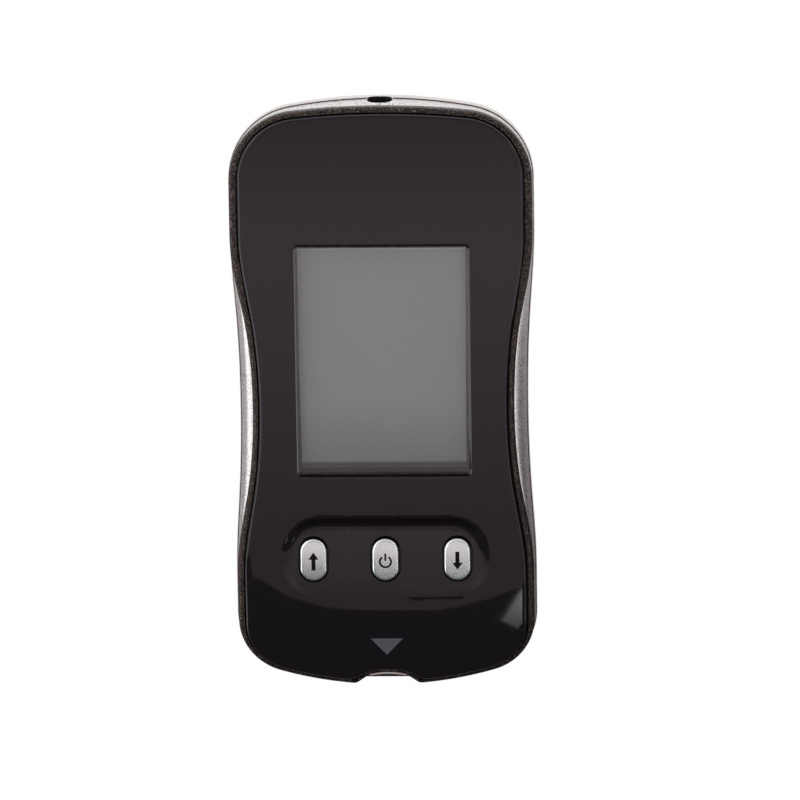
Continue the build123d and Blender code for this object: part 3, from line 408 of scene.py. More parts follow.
def lay_on(tree, shader, skin, relief_mm=0.0):
    """Joins a skin's colour and roughness, and its relief if it has one, to the shader."""
    for socket, output in (("Base Color", "Color"), ("Roughness", "Roughness")):
        feed(tree, shader.inputs[socket], skin.outputs[output])
    if relief_mm:
        feed(tree, shader.inputs["Normal"], bumped(tree, skin.outputs["Height"], relief_mm))


def shader_material(name):
    """A material with one Principled shader: its tree, its object coordinates, the shader."""
    material, output = blank_material(name)
    tree = material.node_tree
    where = put(tree, "TexCoord").outputs["Object"]
    shader = put(tree, "BsdfPrincipled")
    feed(tree, output.inputs["Surface"], shader.outputs[0])
    return material, tree, where, shader


def flake_paint(name, base, glint, dull, amount, cell_mm, metallic, relief_mm, smear):
    """Metallic paint: flake under a thin clear coat, a little handled."""
    material, tree, where, shader = shader_material(name)
    paint = put(
        tree,
        "Group",
        {"Vector": where, "Scale": 1 / (cell_mm * MM), "Base": (*base, 1), "Glint": (*glint, 1),
         "Dull": (*dull, 1), "Amount": amount},
        node_tree=flake,
    )
    colour, roughness = paint.outputs["Color"], paint.outputs["Roughness"]
    lay_on(tree, shader, handled_skin(tree, where, colour, roughness, smear, dust=0.25))
    feed(tree, shader.inputs["Normal"], bumped(tree, paint.outputs["Height"], relief_mm))
    shader.inputs["Metallic"].default_value = metallic
    shader.inputs["Coat Weight"].default_value = 0.15
    shader.inputs["Coat Roughness"].default_value = 0.3
    return material


def dress(node, material):
    """Gives every slot of a CAD node its finished material."""
    for slot in nodes[node].material_slots:
        slot.material = material


oval_level, oval_half, oval_round = 10.2, 0.6, 1.35    # the socket's opening, seen from its end
dark_margin, dark_from = 0.02, 40.0


def darkened_opening(material):
    """Darkens the wall of the socket's opening to near black, with no metal and no coat: all that
    lies within reach of the middle line of the opening, at the socket end."""
    tree = material.node_tree
    shader = tree.nodes["Principled BSDF"]
    across, along, level = place_parts(tree)
    beside = math_node(tree, "SUBTRACT", math_node(tree, "ABSOLUTE", across), oval_half)
    beside = math_node(tree, "MAXIMUM", beside, 0.0)
    above = math_node(tree, "SUBTRACT", level, oval_level)
    squares = [math_node(tree, "MULTIPLY", part, part) for part in (beside, above)]
    off_line = math_node(tree, "SQRT", math_node(tree, "ADD", *squares))
    darkened = math_node(tree, "LESS_THAN", off_line, oval_round + dark_margin)
    darkened = math_node(tree, "MULTIPLY", darkened, math_node(tree, "GREATER_THAN", along, dark_from))
    painted = shader.inputs["Base Color"].links[0].from_socket
    shown = mix_colour(tree, darkened, painted, (0.006, 0.005, 0.006, 1))
    feed(tree, shader.inputs["Base Color"], shown)
    outside_opening = math_node(tree, "SUBTRACT", 1.0, darkened)
    for socket in ("Metallic", "Coat Weight"):
        sprayed = shader.inputs[socket].default_value
        feed(tree, shader.inputs[socket], math_node(tree, "MULTIPLY", outside_opening, sprayed))


silver_paint = flake_paint(
    "silver_shell",
    base=(0.74, 0.71, 0.67), glint=(0.98, 0.96, 0.92), dull=(0.50, 0.47, 0.44),
    amount=0.30, cell_mm=0.10, metallic=0.60, relief_mm=0.003, smear=0.05,
)
darkened_opening(silver_paint)
dress("rear_case", silver_paint)

# ================================================================== middle frame
# Two silver side pieces of ABS that run from the strip port to the data socket, clamped between
# the rear case and the dark front frame. They are rounded over from the parting line up to the
# front frame and flare out past it at the waist.
case_height, frame_top = 9.5, 12.2
bend_start, bend_radius = -28.0, 72.0
flank_share = 0.35
shoulder_y, hip_y, waist_y = 26.0, -28.0, -1.5
frame_step, frame_wall, frame_joint = 0.2, 1.6, 0.1
frame_thin = 0.02          # least height of a side piece, where the face bends down to it
port_half = 5.6            # from the middle of the strip port to where the side pieces start
roll_count = 12            # rings over the rounded side
roll_fullness = 0.75       # 0 for a straight slope, 1 for a quarter ellipse
arc_count, corner_count, side_count = 42, 30, 200      # points along an outline's stretches


def fall(y):
    """Drop of the face beyond the bend: the sagitta of an arc of bend_radius."""
    run = np.maximum(0.0, bend_start - y)
    return bend_radius - np.sqrt(bend_radius**2 - run**2)


def clamped_cubic(knots_y, knots_x, y):
    """x on the cubic spline through the knots whose slope is zero at both ends. The inner
    slopes solve the spline's continuity equations; each span is a Hermite cubic."""
    spans = np.diff(knots_y)
    rises = np.diff(knots_x)
    matrix = np.diag(2 * (1 / spans[:-1] + 1 / spans[1:]))
    matrix += np.diag(1 / spans[1:-1], 1) + np.diag(1 / spans[1:-1], -1)
    slopes = np.zeros(len(knots_y))
    slopes[1:-1] = np.linalg.solve(
        matrix, 3 * (rises[:-1] / spans[:-1] ** 2 + rises[1:] / spans[1:] ** 2)
    )
    span = np.clip(np.searchsorted(knots_y, y) - 1, 0, len(spans) - 1)
    t = (y - knots_y[span]) / spans[span]
    start, end = knots_x[span], knots_x[span + 1]
    leave, arrive = slopes[span] * spans[span], slopes[span + 1] * spans[span]
    return (
        start * (2 * t**3 - 3 * t**2 + 1) + leave * (t**3 - 2 * t**2 + t)
        + end * (3 * t**2 - 2 * t**3) + arrive * (t**3 - t**2)
    )


def end_arcs(end_y, end_radius, side_x, corner_radius, way):
    """Half an end: a shallow arc from the middle, then the tangent corner arc to the side."""
    reach = end_radius - corner_radius
    corner_x = side_x - corner_radius
    lean = np.arcsin(corner_x / reach)
    centre_y = end_y - way * end_radius
    sweep = np.linspace(0, lean, arc_count)
    turn = np.linspace(lean, pi / 2, corner_count)[1:]
    x = np.concatenate([end_radius * np.sin(sweep), corner_x + corner_radius * np.sin(turn)])
    y = np.concatenate(
        [
            centre_y + way * end_radius * np.cos(sweep),
            centre_y + way * (reach * np.cos(lean) + corner_radius * np.cos(turn)),
        ]
    )
    return x, y


def set_in(outline, gap):
    """The sizes of an outline whose ends, sides and corners are moved in by a gap."""
    socket, sides, strip = outline
    return (
        (socket[0] - gap, socket[1], socket[2] - gap),
        tuple(side - gap for side in sides),
        (strip[0] + gap, strip[1], strip[2] - gap),
    )


def waisted_loop(socket, sides, strip, notch=None):
    """A waisted outline, clockwise from the middle of the socket end: end arcs, spline sides
    and, if given, the notch, which lifts the strip end by a smooth step. socket and strip give
    an end's Y, its radius and its corner radius, and sides the shoulder, waist and hip X."""
    shoulder, waist, hip = sides
    top_x, top_y = end_arcs(socket[0], socket[1], shoulder, socket[2], 1)
    low_x, low_y = end_arcs(strip[0], strip[1], hip, strip[2], -1)
    knots_y = np.array(
        [hip_y, (waist_y + hip_y) / 2, waist_y, (shoulder_y + waist_y) / 2, shoulder_y]
    )
    knots_x = np.array(
        [hip, waist + flank_share * (hip - waist), waist,
         waist + flank_share * (shoulder - waist), shoulder]
    )
    side_y = np.linspace(top_y[-1], low_y[-1], side_count + 2)[1:-1]
    side_x = clamped_cubic(knots_y, knots_x, np.clip(side_y, hip_y, shoulder_y))
    if notch:
        flat, reach, rise = notch
        step = np.clip((reach - low_x) / (reach - flat), 0, 1)
        low_y = low_y + rise * step**2 * (3 - 2 * step)
    x = np.concatenate([top_x, side_x, low_x[::-1]])
    y = np.concatenate([top_y, side_y, low_y[::-1]])
    return np.stack([np.append(x, -x[-2:0:-1]), np.append(y, y[-2:0:-1])], axis=1)


def moved_in(loop, inset):
    """A clockwise closed loop moved inwards along its normals."""
    run = np.roll(loop, -1, axis=0) - np.roll(loop, 1, axis=0)
    normal = np.stack([run[:, 1], -run[:, 0]], axis=1)
    return loop + normal / np.linalg.norm(normal, axis=1, keepdims=True) * inset


def ring_faces(rings, count, start=0, flip=False):
    """Quads between successive rings of count points each, closed round the rings."""
    index = np.arange(rings * count).reshape(rings, count) + start
    here, after = index[:-1], index[1:]
    quads = np.stack(
        [here, np.roll(here, -1, axis=1), np.roll(after, -1, axis=1), after], axis=2
    ).reshape(-1, 4)
    return (quads[:, ::-1] if flip else quads).tolist()


def weld(piece, reach_mm=0.004):
    """Joins coincident points and turns the faces of a closed form outwards."""
    work = bmesh.new()
    work.from_mesh(piece.data)
    bmesh.ops.remove_doubles(work, verts=work.verts, dist=reach_mm * MM)
    bmesh.ops.recalc_face_normals(work, faces=work.faces)
    work.to_mesh(piece.data)
    work.free()
    piece.data.shade_smooth()
    piece.data.set_sharp_from_angle(angle=crease)
    return piece


def capped_faces(rings, count):
    """Quads between successive rings, and the two flat ends."""
    last_first = (rings - 1) * count
    ends = [list(range(count)), list(range(last_first, last_first + count))[::-1]]
    return ring_faces(rings, count) + ends


def ring_piece(name, rings, material, flip=False, reach_mm=0.004):
    """A piece whose skin runs over successive rings of points."""
    faces = ring_faces(len(rings), len(rings[0]), flip=flip)
    return weld(mesh_object(name, np.concatenate(rings), faces, material), reach_mm)


def box_form(low, high):
    """Points and faces of a box between two corners."""
    corners = [(x, y, z) for z in (low[2], high[2]) for y in (low[1], high[1])
               for x in (low[0], high[0])]
    return corners, [(0, 2, 3, 1), (4, 5, 7, 6), (0, 1, 5, 4), (2, 6, 7, 3), (0, 4, 6, 2),
                     (1, 3, 7, 5)]


def cut_by(piece, points, faces, reach_mm=0.001):
    """Cuts a closed form out of a piece."""
    tool = weld(mesh_object(piece.name + "_tool", points, faces, piece.data.materials[0]))
    cut = piece.modifiers.new("cut", "BOOLEAN")
    cut.operation, cut.solver, cut.object = "DIFFERENCE", "EXACT", tool
    solved = piece.evaluated_get(bpy.context.evaluated_depsgraph_get())
    piece_mesh = bpy.data.meshes.new_from_object(solved)
    piece.modifiers.clear()
    piece.data = piece_mesh
    bpy.data.objects.remove(tool)
    return weld(piece, reach_mm)


body_outline = (46.5, 78.0, 11.5), (23.5, 22.3, 23.35), (-46.433, 56.0, 9.0)
face_outline = (45.8, 127.0, 10.9), (23.3, 20.2, 23.0), (-46.733, 56.0, 9.0)
body_loop = moved_in(waisted_loop(*body_outline), frame_step)
face_loop = waisted_loop(*face_outline)
inner_loop = moved_in(face_loop, frame_wall)
roll = np.linspace(0, pi / 2, roll_count)
roll_in = roll_fullness * (1 - np.cos(roll)) + (1 - roll_fullness) * roll / (pi / 2)
roll_up = roll_fullness * np.sin(roll) + (1 - roll_fullness) * roll / (pi / 2)
frame_rings = [raised(inner_loop, case_height)]
for share_in, share_up in zip(roll_in, roll_up):
    ring = body_loop + (face_loop - body_loop) * share_in
    top = np.maximum(frame_top - fall(face_loop[:, 1]), case_height + frame_thin)
    frame_rings.append(raised(ring, case_height + (top - case_height) * share_up))
frame_rings.append(raised(inner_loop, frame_rings[-1][:, 2]))
frame_rings.append(frame_rings[0])
frame_paint = flake_paint(
    "silver_frame",
    base=(0.76, 0.735, 0.745), glint=(1.0, 0.985, 0.97), dull=(0.40, 0.38, 0.39),
    amount=0.34, cell_mm=0.12, metallic=0.72, relief_mm=0.005, smear=0.04,
)
darkened_opening(frame_paint)
side_frame = ring_piece("side_frame", frame_rings, frame_paint, flip=True)
ends_from, ends_to = 40.0, 50.0        # how far off the middle an end's cuts start and finish
oval_turn = np.linspace(0, 2 * pi, 48, endpoint=False)
oval_x = oval_half * np.sign(np.cos(oval_turn)) + oval_round * np.cos(oval_turn)
oval_z = oval_level + oval_round * np.sin(oval_turn)
oval_points = np.concatenate(
    [np.column_stack([oval_x, np.full(len(oval_x), y), oval_z]) for y in (ends_from, ends_to)]
)
cut_by(side_frame, oval_points, capped_faces(2, len(oval_x)))


def end_slot(half, way):
    """A box that reaches half to each side of the middle, at the socket end (1) or the other."""
    low, high = sorted((way * ends_from, way * ends_to))
    return box_form((-half, low, 0), (half, high, 20))


cut_by(side_frame, *end_slot(frame_joint / 2, 1))
cut_by(side_frame, *end_slot(port_half, -1))
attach(side_frame, "meter")
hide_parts("middle_frame")

def plain_material(name, colour, shade, roughness, swing=0.12, grain_mm=0.25, relief_mm=0.004,
                   metallic=0.0):
    """A moulded, stamped or foam finish: fine relief, slow drift of shade and gloss."""
    material, tree, where, shader = shader_material(name)
    skin = grained_skin(tree, where, grain_mm, colour, shade, roughness, swing)
    lay_on(tree, shader, skin, relief_mm)
    shader.inputs["Metallic"].default_value = metallic
    return material


# A thin black band lies along the parting line between the rear case and the side pieces: painted
# shade where the shells meet, standing in for the shadow gap between them.
seam_out, seam_in, seam_low, seam_high = 0.09, 0.30, 9.45, 9.56
seam_off_oval, seam_off_port = 2.1, 5.7        # where it ends, off the middle of each opening
seam_rings = [
    raised(moved_in(body_loop, inset - frame_step), level)
    for inset, level in (
        (seam_in, seam_low), (seam_out, seam_low), (seam_out, seam_high), (seam_in, seam_high),
        (seam_in, seam_low),
    )
]
seam_black = plain_material("seam_black", (0.012, 0.011, 0.012), (0.02, 0.019, 0.019), 0.7,
                             swing=0.1, grain_mm=0.2, relief_mm=0.0)
seam_shade = ring_piece("parting_seam_shade", seam_rings, seam_black, flip=True)
cut_by(seam_shade, *end_slot(seam_off_oval, 1))
cut_by(seam_shade, *end_slot(seam_off_port, -1))
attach(seam_shade, "meter")

# ================================================================== main board and what it carries
# Green glass-epoxy board with copper tracks under the solder mask, and its soldered parts: an
# epoxy-moulded controller and memory, a drawn-steel crystal can, a buzzer and chip components.
track_pitch, track_relief = 1.1, 0.03
board_material, tree, where, shader = shader_material("circuit_board")
tracks = put(
    tree,
    "TexBrick",
    {"Vector": where, "Scale": 1 / (track_pitch * MM), "Mortar Size": 0.12, "Brick Width": 6.5,
     "Row Height": 0.9, "Color1": (0.0, 0.0, 0.0, 1), "Color2": (0.35, 0.35, 0.35, 1),
     "Mortar": (1, 1, 1, 1)},
)
copper = mix_colour(tree, tracks.outputs["Color"], (0.012, 0.11, 0.045, 1), (0.03, 0.22, 0.10, 1))
lay_on(tree, shader, handled_skin(tree, where, copper, roughness=0.32, smear=0.1, dust=0.3))
feed(tree, shader.inputs["Normal"], bumped(tree, tracks.outputs["Color"], track_relief))
dress("main_board", board_material)

chip_epoxy = plain_material("chip_black", (0.022, 0.022, 0.024), (0.035, 0.034, 0.033), 0.5)
dress("microcontroller", chip_epoxy)
dress("memory_chip", chip_epoxy)
chip_ceramic = plain_material("chip_ceramic", (0.16, 0.12, 0.09), (0.10, 0.08, 0.06), 0.45)
dress("chip_components", chip_ceramic)
dress("crystal", plain_material("can_steel", (0.62, 0.62, 0.60), (0.5, 0.5, 0.49), 0.25,
                                grain_mm=0.5, metallic=1.0))
moulded_black = plain_material("black_plastic", (0.016, 0.016, 0.018), (0.026, 0.025, 0.025), 0.38)
dress("buzzer", moulded_black)

# ================================================================== display
# Reflective liquid-crystal cell in a white moulded holder. Its glass shows a grey viewing area
# inside a printed dark border, which is not quite square to the window. The grey has painted shade
# towards its bottom, a softer painted shadow band under it, and a painted highlight line along its
# top.
dress("lcd_holder", plain_material("holder_plastic", (0.74, 0.74, 0.71), (0.66, 0.66, 0.63), 0.5))
dress("lcd_reflector", plain_material("reflector_film", (0.6, 0.61, 0.6), (0.5, 0.51, 0.5), 0.3,
                                      metallic=0.8))
dress("zebra_strip", plain_material("zebra_rubber", (0.08, 0.08, 0.09), (0.16, 0.15, 0.15), 0.7))
dress("window_gasket", plain_material("foam", (0.02, 0.02, 0.02), (0.035, 0.035, 0.035), 0.85,
                                      grain_mm=0.12, relief_mm=0.03))

view_left, view_right = -12.98, 12.84          # viewing area, halfway up
view_top, view_bottom = 23.45, -10.45
left_lean, right_lean = 0.0120, -0.0080        # how far its sides lean, per millimetre of Y
shadow_band_foot = -11.35                           # foot of the painted shadow band under the viewing area
border_soft, shadow_band_soft, highlight_soft = 0.05, 0.30, 0.03
highlight_line = 0.15                               # width of the painted highlight line along the top of the viewing area
lcd_material, tree, where, shader = shader_material("display_glass")
across, along, _ = place_parts(tree)
along_middle = math_node(tree, "SUBTRACT", along, (view_top + view_bottom) / 2)


def past(tree, value, limit, soft=border_soft):
    """1 where the value is above the limit, with a soft edge."""
    low = math_node(tree, "SUBTRACT", limit, soft)
    high = math_node(tree, "ADD", limit, soft)
    return ramp_value(tree, value, low, high)


left_swing = math_node(tree, "MULTIPLY", along_middle, left_lean)
right_swing = math_node(tree, "MULTIPLY", along_middle, right_lean)
inside = past(tree, across, math_node(tree, "SUBTRACT", view_left, left_swing))
right_limit = math_node(tree, "SUBTRACT", view_right, right_swing)
inside = math_node(tree, "MULTIPLY", inside, past(tree, right_limit, across))
inside = math_node(tree, "MULTIPLY", inside, past(tree, view_top, along))
# Painted shadow: a softer dark band just under the viewing area, lighter than the printed border.
in_shadow_band = math_node(tree, "MULTIPLY", inside, past(tree, along, shadow_band_foot))
inside = math_node(tree, "MULTIPLY", inside, past(tree, along, view_bottom, shadow_band_soft))
# Painted shade: the grey darkens towards the bottom of the viewing area.
out_of_shade = ramp_value(tree, along, view_bottom - 1.5, view_bottom + 12.0)
mottle = put(tree, "TexNoise", {"Vector": where, "Scale": 260.0, "Detail": 5.0, "Roughness": 0.7})
mottled = ramp_value(tree, mottle.outputs[0], 0.3, 0.7, 0.0, 0.10)
grey = mix_colour(tree, out_of_shade, (0.205, 0.225, 0.214, 1), (0.303, 0.335, 0.317, 1))
grey = mix_colour(tree, mottled, grey, (0.335, 0.371, 0.349, 1))
# Painted highlight: a brighter line along the top of the viewing area.
top_highlight = past(tree, along, view_top - highlight_line, highlight_soft)
grey = mix_colour(tree, top_highlight, grey, (0.46, 0.52, 0.49, 1))
border_and_shadow = mix_colour(tree, in_shadow_band, (0.003, 0.003, 0.004, 1), (0.038, 0.041, 0.044, 1))
feed(tree, shader.inputs["Base Color"], mix_colour(tree, inside, border_and_shadow, grey))
feed(tree, shader.inputs["Roughness"], ramp_value(tree, mottle.outputs[0], 0.2, 0.8, 0.30, 0.42))
shader.inputs["Specular IOR Level"].default_value = 0.3
dress("lcd_glass", lcd_material)

# ================================================================== front frame
# Dark graphite-painted rim and chassis in one moulding. Its paint carries a fine bronze flake
# over a near-black ground, and the gloss face panel is bonded into it. The pocket for the panel
# is drawn a little wider here, which leaves a thinner rim.
rim_paint = flake_paint(
    "dark_rim",
    base=(0.0125, 0.0100, 0.0090), glint=(0.24, 0.180, 0.140), dull=(0.004, 0.0035, 0.003),
    amount=0.22, cell_mm=0.11, metallic=0.22, relief_mm=0.010, smear=0.03,
)
pocket_shift = 0.13                            # how far the pocket's wall is moved out
pocket_reach, pocket_near = 0.04, 0.6          # a point of the wall is no further off its outline
pocket_floor = 12.65
pocket_outline = (44.9, 127.0, 9.65), (22.05, 19.25, 21.95), (-46.083, 56.0, 7.95)
pocket_loop = waisted_loop(*pocket_outline)
pocket_out = (pocket_loop - moved_in(pocket_loop, 1.0)) * pocket_shift
rim_shader = rim_paint.node_tree.nodes["Principled BSDF"]
rim_shader.inputs["Coat Weight"].default_value = 0.0
rim_shader.inputs["Specular IOR Level"].default_value = 0.3
rim_mesh = nodes["bezel_frame"].data.copy()
rim_mesh.transform(nodes["bezel_frame"].matrix_world)
rim_points = np.empty(len(rim_mesh.vertices) * 3)
rim_mesh.vertices.foreach_get("co", rim_points)
rim_points = rim_points.reshape(-1, 3) / MM
nearest = np.concatenate(
    [
        np.linalg.norm(part[:, None, :2] - pocket_loop[None], axis=2).argmin(1)
        for part in np.array_split(rim_points, 40)
    ]
)
off_wall = rim_points[:, :2] - pocket_loop[nearest]
straight = np.abs((off_wall * pocket_out[nearest]).sum(1)) / pocket_shift < pocket_reach
above_floor = rim_points[:, 2] > pocket_floor - fall(rim_points[:, 1])
on_wall = straight & above_floor & (np.linalg.norm(off_wall, axis=1) < pocket_near)
rim_points[on_wall, :2] += pocket_out[nearest[on_wall]]
rim_mesh.vertices.foreach_set("co", (rim_points * MM).ravel())
rim_mesh.update()
rim_mesh.materials.clear()
rim_mesh.materials.append(rim_paint)
front_frame = bpy.data.objects.new("front_frame", rim_mesh)
scene.collection.objects.link(front_frame)
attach(front_frame, "meter")
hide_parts("bezel_frame")

# ================================================================== face panel
# High-gloss black cover of moulded acrylic, bonded to the chassis. It is very slightly crowned
# across, bends down towards the strip port, and has a scooped rest round the keys that is deep
# at its upper wall and runs out almost flush at its lower edge.
face_level, face_seat = 14.5, 12.6
crown_rise, crown_half = 0.18, 22.0
cover_gap, cover_round = 0.06, 0.45
scoop_width, scoop_length, scoop_corner = 32.4, 13.2, 6.0
scoop_centre_y = -25.37
scoop_wall, scoop_foot = 1.75, 0.45        # width of the wall at the upper and lower edge
scoop_narrow, scoop_ease = 0.6, 0.4        # where it starts to narrow; how much of an S it is
scoop_deep, scoop_shallow = 0.80, -0.01
foot_lip, lip_start, lip_run = 0.045, -1.0, 5.0    # low lip along the right of the lower edge
lip_from, lip_rise = 0.80, 0.16            # where down the scoop the lip starts and rises
notch_flat, notch_reach, notch_rise = 1.6, 6.4, 2.0
window_width, window_length, window_corner = 27.16, 36.8, 0.8
window_centre_y = 6.0
key_pitch, key_centre_y = 11.16, -25.63
key_width, key_length, key_gap = 4.07, 6.7, 0.28
key_collar = 0.45                          # width of the finely divided face round a key
face_step, seat_step = 0.55, 2.0           # grid of the panel's upper and lower side


def inside_distance(x, y, width, length, corner, centre_y):
    """Distance inwards from a rounded rectangle's edge: negative outside it."""
    over_x = np.abs(x) - (width / 2 - corner)
    over_y = np.abs(y - centre_y) - (length / 2 - corner)
    outer = np.hypot(np.maximum(over_x, 0), np.maximum(over_y, 0))
    return corner - outer - np.minimum(np.maximum(over_x, over_y), 0)


def face_height(x, y):
    """Height of the face: level, less the bend, a parabola across, and the scoop, whose depth
    runs from deep to shallow down the scoop and rises through its wall in an easy S. A low lip
    grows to the right along the scoop's lower edge."""
    depth_in = inside_distance(x, y, scoop_width, scoop_length, scoop_corner, scoop_centre_y)
    down = np.clip((scoop_centre_y + scoop_length / 2 - y) / scoop_length, 0, 1)
    narrowed = np.clip((down - scoop_narrow) / (1 - scoop_narrow), 0, 1)
    width = scoop_wall + (scoop_foot - scoop_wall) * narrowed
    wall = np.clip(depth_in / width, 0, 1)
    wall = (1 - scoop_ease) * wall + scoop_ease * wall**2 * (3 - 2 * wall)
    foot = np.clip((down - lip_from) / lip_rise, 0, 1) * np.clip((x - lip_start) / lip_run, 0, 1)
    scoop = wall * (scoop_deep + (scoop_shallow - scoop_deep) * down - foot_lip * foot)
    return face_level - fall(y) - crown_rise * (x / crown_half) ** 2 - scoop


def rounded_rectangle(width, length, corner, centre, count=10, step=0.35):
    """Closed clockwise loop: four quarter arcs of count points joined by divided straights."""
    turn = np.linspace(0, pi / 2, count)
    arcs = []
    for quarter, (side_x, side_y) in enumerate(((1, 1), (1, -1), (-1, -1), (-1, 1))):
        angle = turn + quarter * pi / 2
        arc_x = side_x * (width / 2 - corner) + corner * np.sin(angle)
        arc_y = side_y * (length / 2 - corner) + corner * np.cos(angle)
        arcs.append(np.column_stack([arc_x, arc_y]))
    pieces = []
    for here, after in zip(arcs, arcs[1:] + arcs[:1]):
        steps = max(2, int(np.linalg.norm(after[0] - here[-1]) / step))
        share = np.linspace(0, 1, steps + 1)[1:-1, None]
        pieces += [here, here[-1] + (after[0] - here[-1]) * share]
    return np.concatenate(pieces) + centre


def capsule(width, length, centre, count=22):
    """Closed clockwise loop of an upright slot shape."""
    return rounded_rectangle(width, length, width / 2 - 0.001, centre, count)


def fill_between(loops, extra, step):
    """Triangles that fill the first loop less the holes, over a grid of inner points and along
    the extra loops. Returns the plan points and the triangles."""
    low, high = loops[0].min(0), loops[0].max(0)
    grid_x, grid_y = np.meshgrid(
        np.arange(low[0] + step / 2, high[0], step), np.arange(low[1] + step / 2, high[1], step)
    )
    grid = np.column_stack([grid_x.ravel(), grid_y.ravel()])
    clear = np.ones(len(grid), bool)
    for loop in loops + extra:
        for part in np.array_split(loop, max(1, len(loop) // 60)):
            gap = np.linalg.norm(grid[:, None] - part[None], axis=2).min(1)
            clear &= gap > 0.6 * step
    points = np.concatenate(loops + extra + [grid[clear]])
    edges, start = [], 0
    for loop in loops + extra:
        index = np.arange(len(loop)) + start
        edges += np.column_stack([index, np.roll(index, -1)]).tolist()
        start += len(loop)
    filled_in = delaunay_2d_cdt([Vector(p) for p in points], edges, [], 2, 1e-6)
    flat = np.array([v[:] for v in filled_in[0]])
    faces = np.array(filled_in[2])
    middle = flat[faces].mean(1)
    keep = np.ones(len(faces), bool)
    for number, loop in enumerate(loops):
        after = np.roll(loop, -1, axis=0)
        low_end = loop[None, :, 1] > middle[:, None, 1]
        crossing = low_end != (after[None, :, 1] > middle[:, None, 1])
        rise = after[:, 1] - loop[:, 1]
        slope = (after[:, 0] - loop[:, 0]) / np.where(rise == 0, 1e-12, rise)
        at_x = loop[None, :, 0] + (middle[:, None, 1] - loop[None, :, 1]) * slope[None]
        within = (crossing & (middle[:, None, 0] < at_x)).sum(1) % 2 == 1
        keep &= within if number == 0 else ~within
    faces = faces[keep]
    turn = np.cross(flat[faces[:, 1]] - flat[faces[:, 0]], flat[faces[:, 2]] - flat[faces[:, 0]])
    faces[turn < 0] = faces[turn < 0][:, ::-1]
    return flat, faces


outer_loop = waisted_loop(
    *set_in(pocket_outline, cover_gap), notch=(notch_flat, notch_reach, notch_rise)
)
window_loop = rounded_rectangle(window_width, window_length, window_corner, (0, window_centre_y))
key_centres = [(side * key_pitch, key_centre_y) for side in (-1, 0, 1)]
key_loops = [capsule(key_width + 2 * key_gap, key_length + 2 * key_gap, c) for c in key_centres]
edge_turn = np.linspace(0, pi / 2, 7)
outer_rings = [(0.0, None)] + [
    (cover_round * (1 - cos(a)), cover_round * (1 - sin(a))) for a in edge_turn
]
window_rings = [(-0.55, None), (-0.55, 1.40), (-0.36, 1.40), (-0.36, 0.18), (-0.34, 0.145),
                (-0.02, 0.02), (0.03, 0.005), (0.10, 0.0)]
key_rings = [(0.0, None), (0.0, 0.06), (0.01, 0.02), (0.04, 0.0)]


def edge_layers(loop, rings, hole):
    """Points of an edge's rings, each a loop moved by the first number and dropped from the
    face by the second, or set on the seat. The last ring is the one that the face meets."""
    layers = []
    for shift, drop in rings:
        ring = moved_in(loop, -shift if hole else shift)
        if drop is None:
            height = face_seat - fall(ring[:, 1])
        else:
            height = face_height(ring[:, 0], ring[:, 1]) - drop
        layers.append(raised(ring, height))
    return layers


cover_points, cover_faces, cover_start = [], [], 0
face_loops, seat_loops = [], []
for loop, rings, hole in (
    [(outer_loop, outer_rings, False), (window_loop, window_rings, True)]
    + [(key_loop, key_rings, True) for key_loop in key_loops]
):
    layers = edge_layers(loop, rings, hole)
    cover_points += layers
    cover_faces += ring_faces(len(layers), len(loop), cover_start, flip=not hole)
    cover_start += len(layers) * len(loop)
    face_loops.append(layers[-1][:, :2])
    seat_loops.append(layers[0][:, :2])
guide_loops = [
    rounded_rectangle(
        scoop_width - 2 * inset, scoop_length - 2 * inset, scoop_corner - inset,
        (0, scoop_centre_y), 24, 0.5,
    )
    for inset in np.linspace(0.0, scoop_wall, 8)
] + [moved_in(key_loop, -key_collar) for key_loop in key_loops]
face_plan, face_faces = fill_between(face_loops, guide_loops, face_step)
seat_plan, seat_faces = fill_between(seat_loops, [], seat_step)
cover_points.append(raised(face_plan, face_height(face_plan[:, 0], face_plan[:, 1])))
cover_faces += (face_faces + cover_start).tolist()
cover_start += len(face_plan)
cover_points.append(raised(seat_plan, face_seat - fall(seat_plan[:, 1])))
cover_faces += (seat_faces[:, ::-1] + cover_start).tolist()

gloss_black, tree, where, shader = shader_material("gloss_black")
near_black = (0.0062, 0.0046, 0.0066, 1)
lay_on(tree, shader, handled_skin(tree, where, near_black, roughness=0.03, smear=0.03, dust=0.04))
shader.inputs["Specular IOR Level"].default_value = 0.40
face_cover = weld(mesh_object("face_cover", np.concatenate(cover_points), cover_faces, gloss_black))
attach(face_cover, "meter")
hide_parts("face_panel")


def inlay(name, loop, height_of, material, rise, depth, step, reach_mm=0.0005):
    """A thin piece with the given outline that follows a surface, a little above and below it."""
    edge = height_of(loop[:, 0], loop[:, 1])
    plan, faces = fill_between([loop], [], step)
    level = height_of(plan[:, 0], plan[:, 1])
    points = [raised(loop, edge - depth), raised(loop, edge + rise)]
    points += [raised(plan, level + rise), raised(plan, level - depth)]
    start = 2 * len(loop)
    all_faces = ring_faces(2, len(loop)) + (faces + start).tolist()
    all_faces += (faces[:, ::-1] + start + len(plan)).tolist()
    return weld(mesh_object(name, np.concatenate(points), all_faces, material), reach_mm)


def divided(outline, step=0.3):
    """A closed outline with points added along its straights."""
    pieces = []
    for here, after in zip(outline, np.roll(outline, -1, axis=0)):
        steps = max(1, int(np.ceil(np.linalg.norm(after - here) / step)))
        pieces.append(here + (after - here) * np.linspace(0, 1, steps, endpoint=False)[:, None])
    return np.concatenate(pieces)


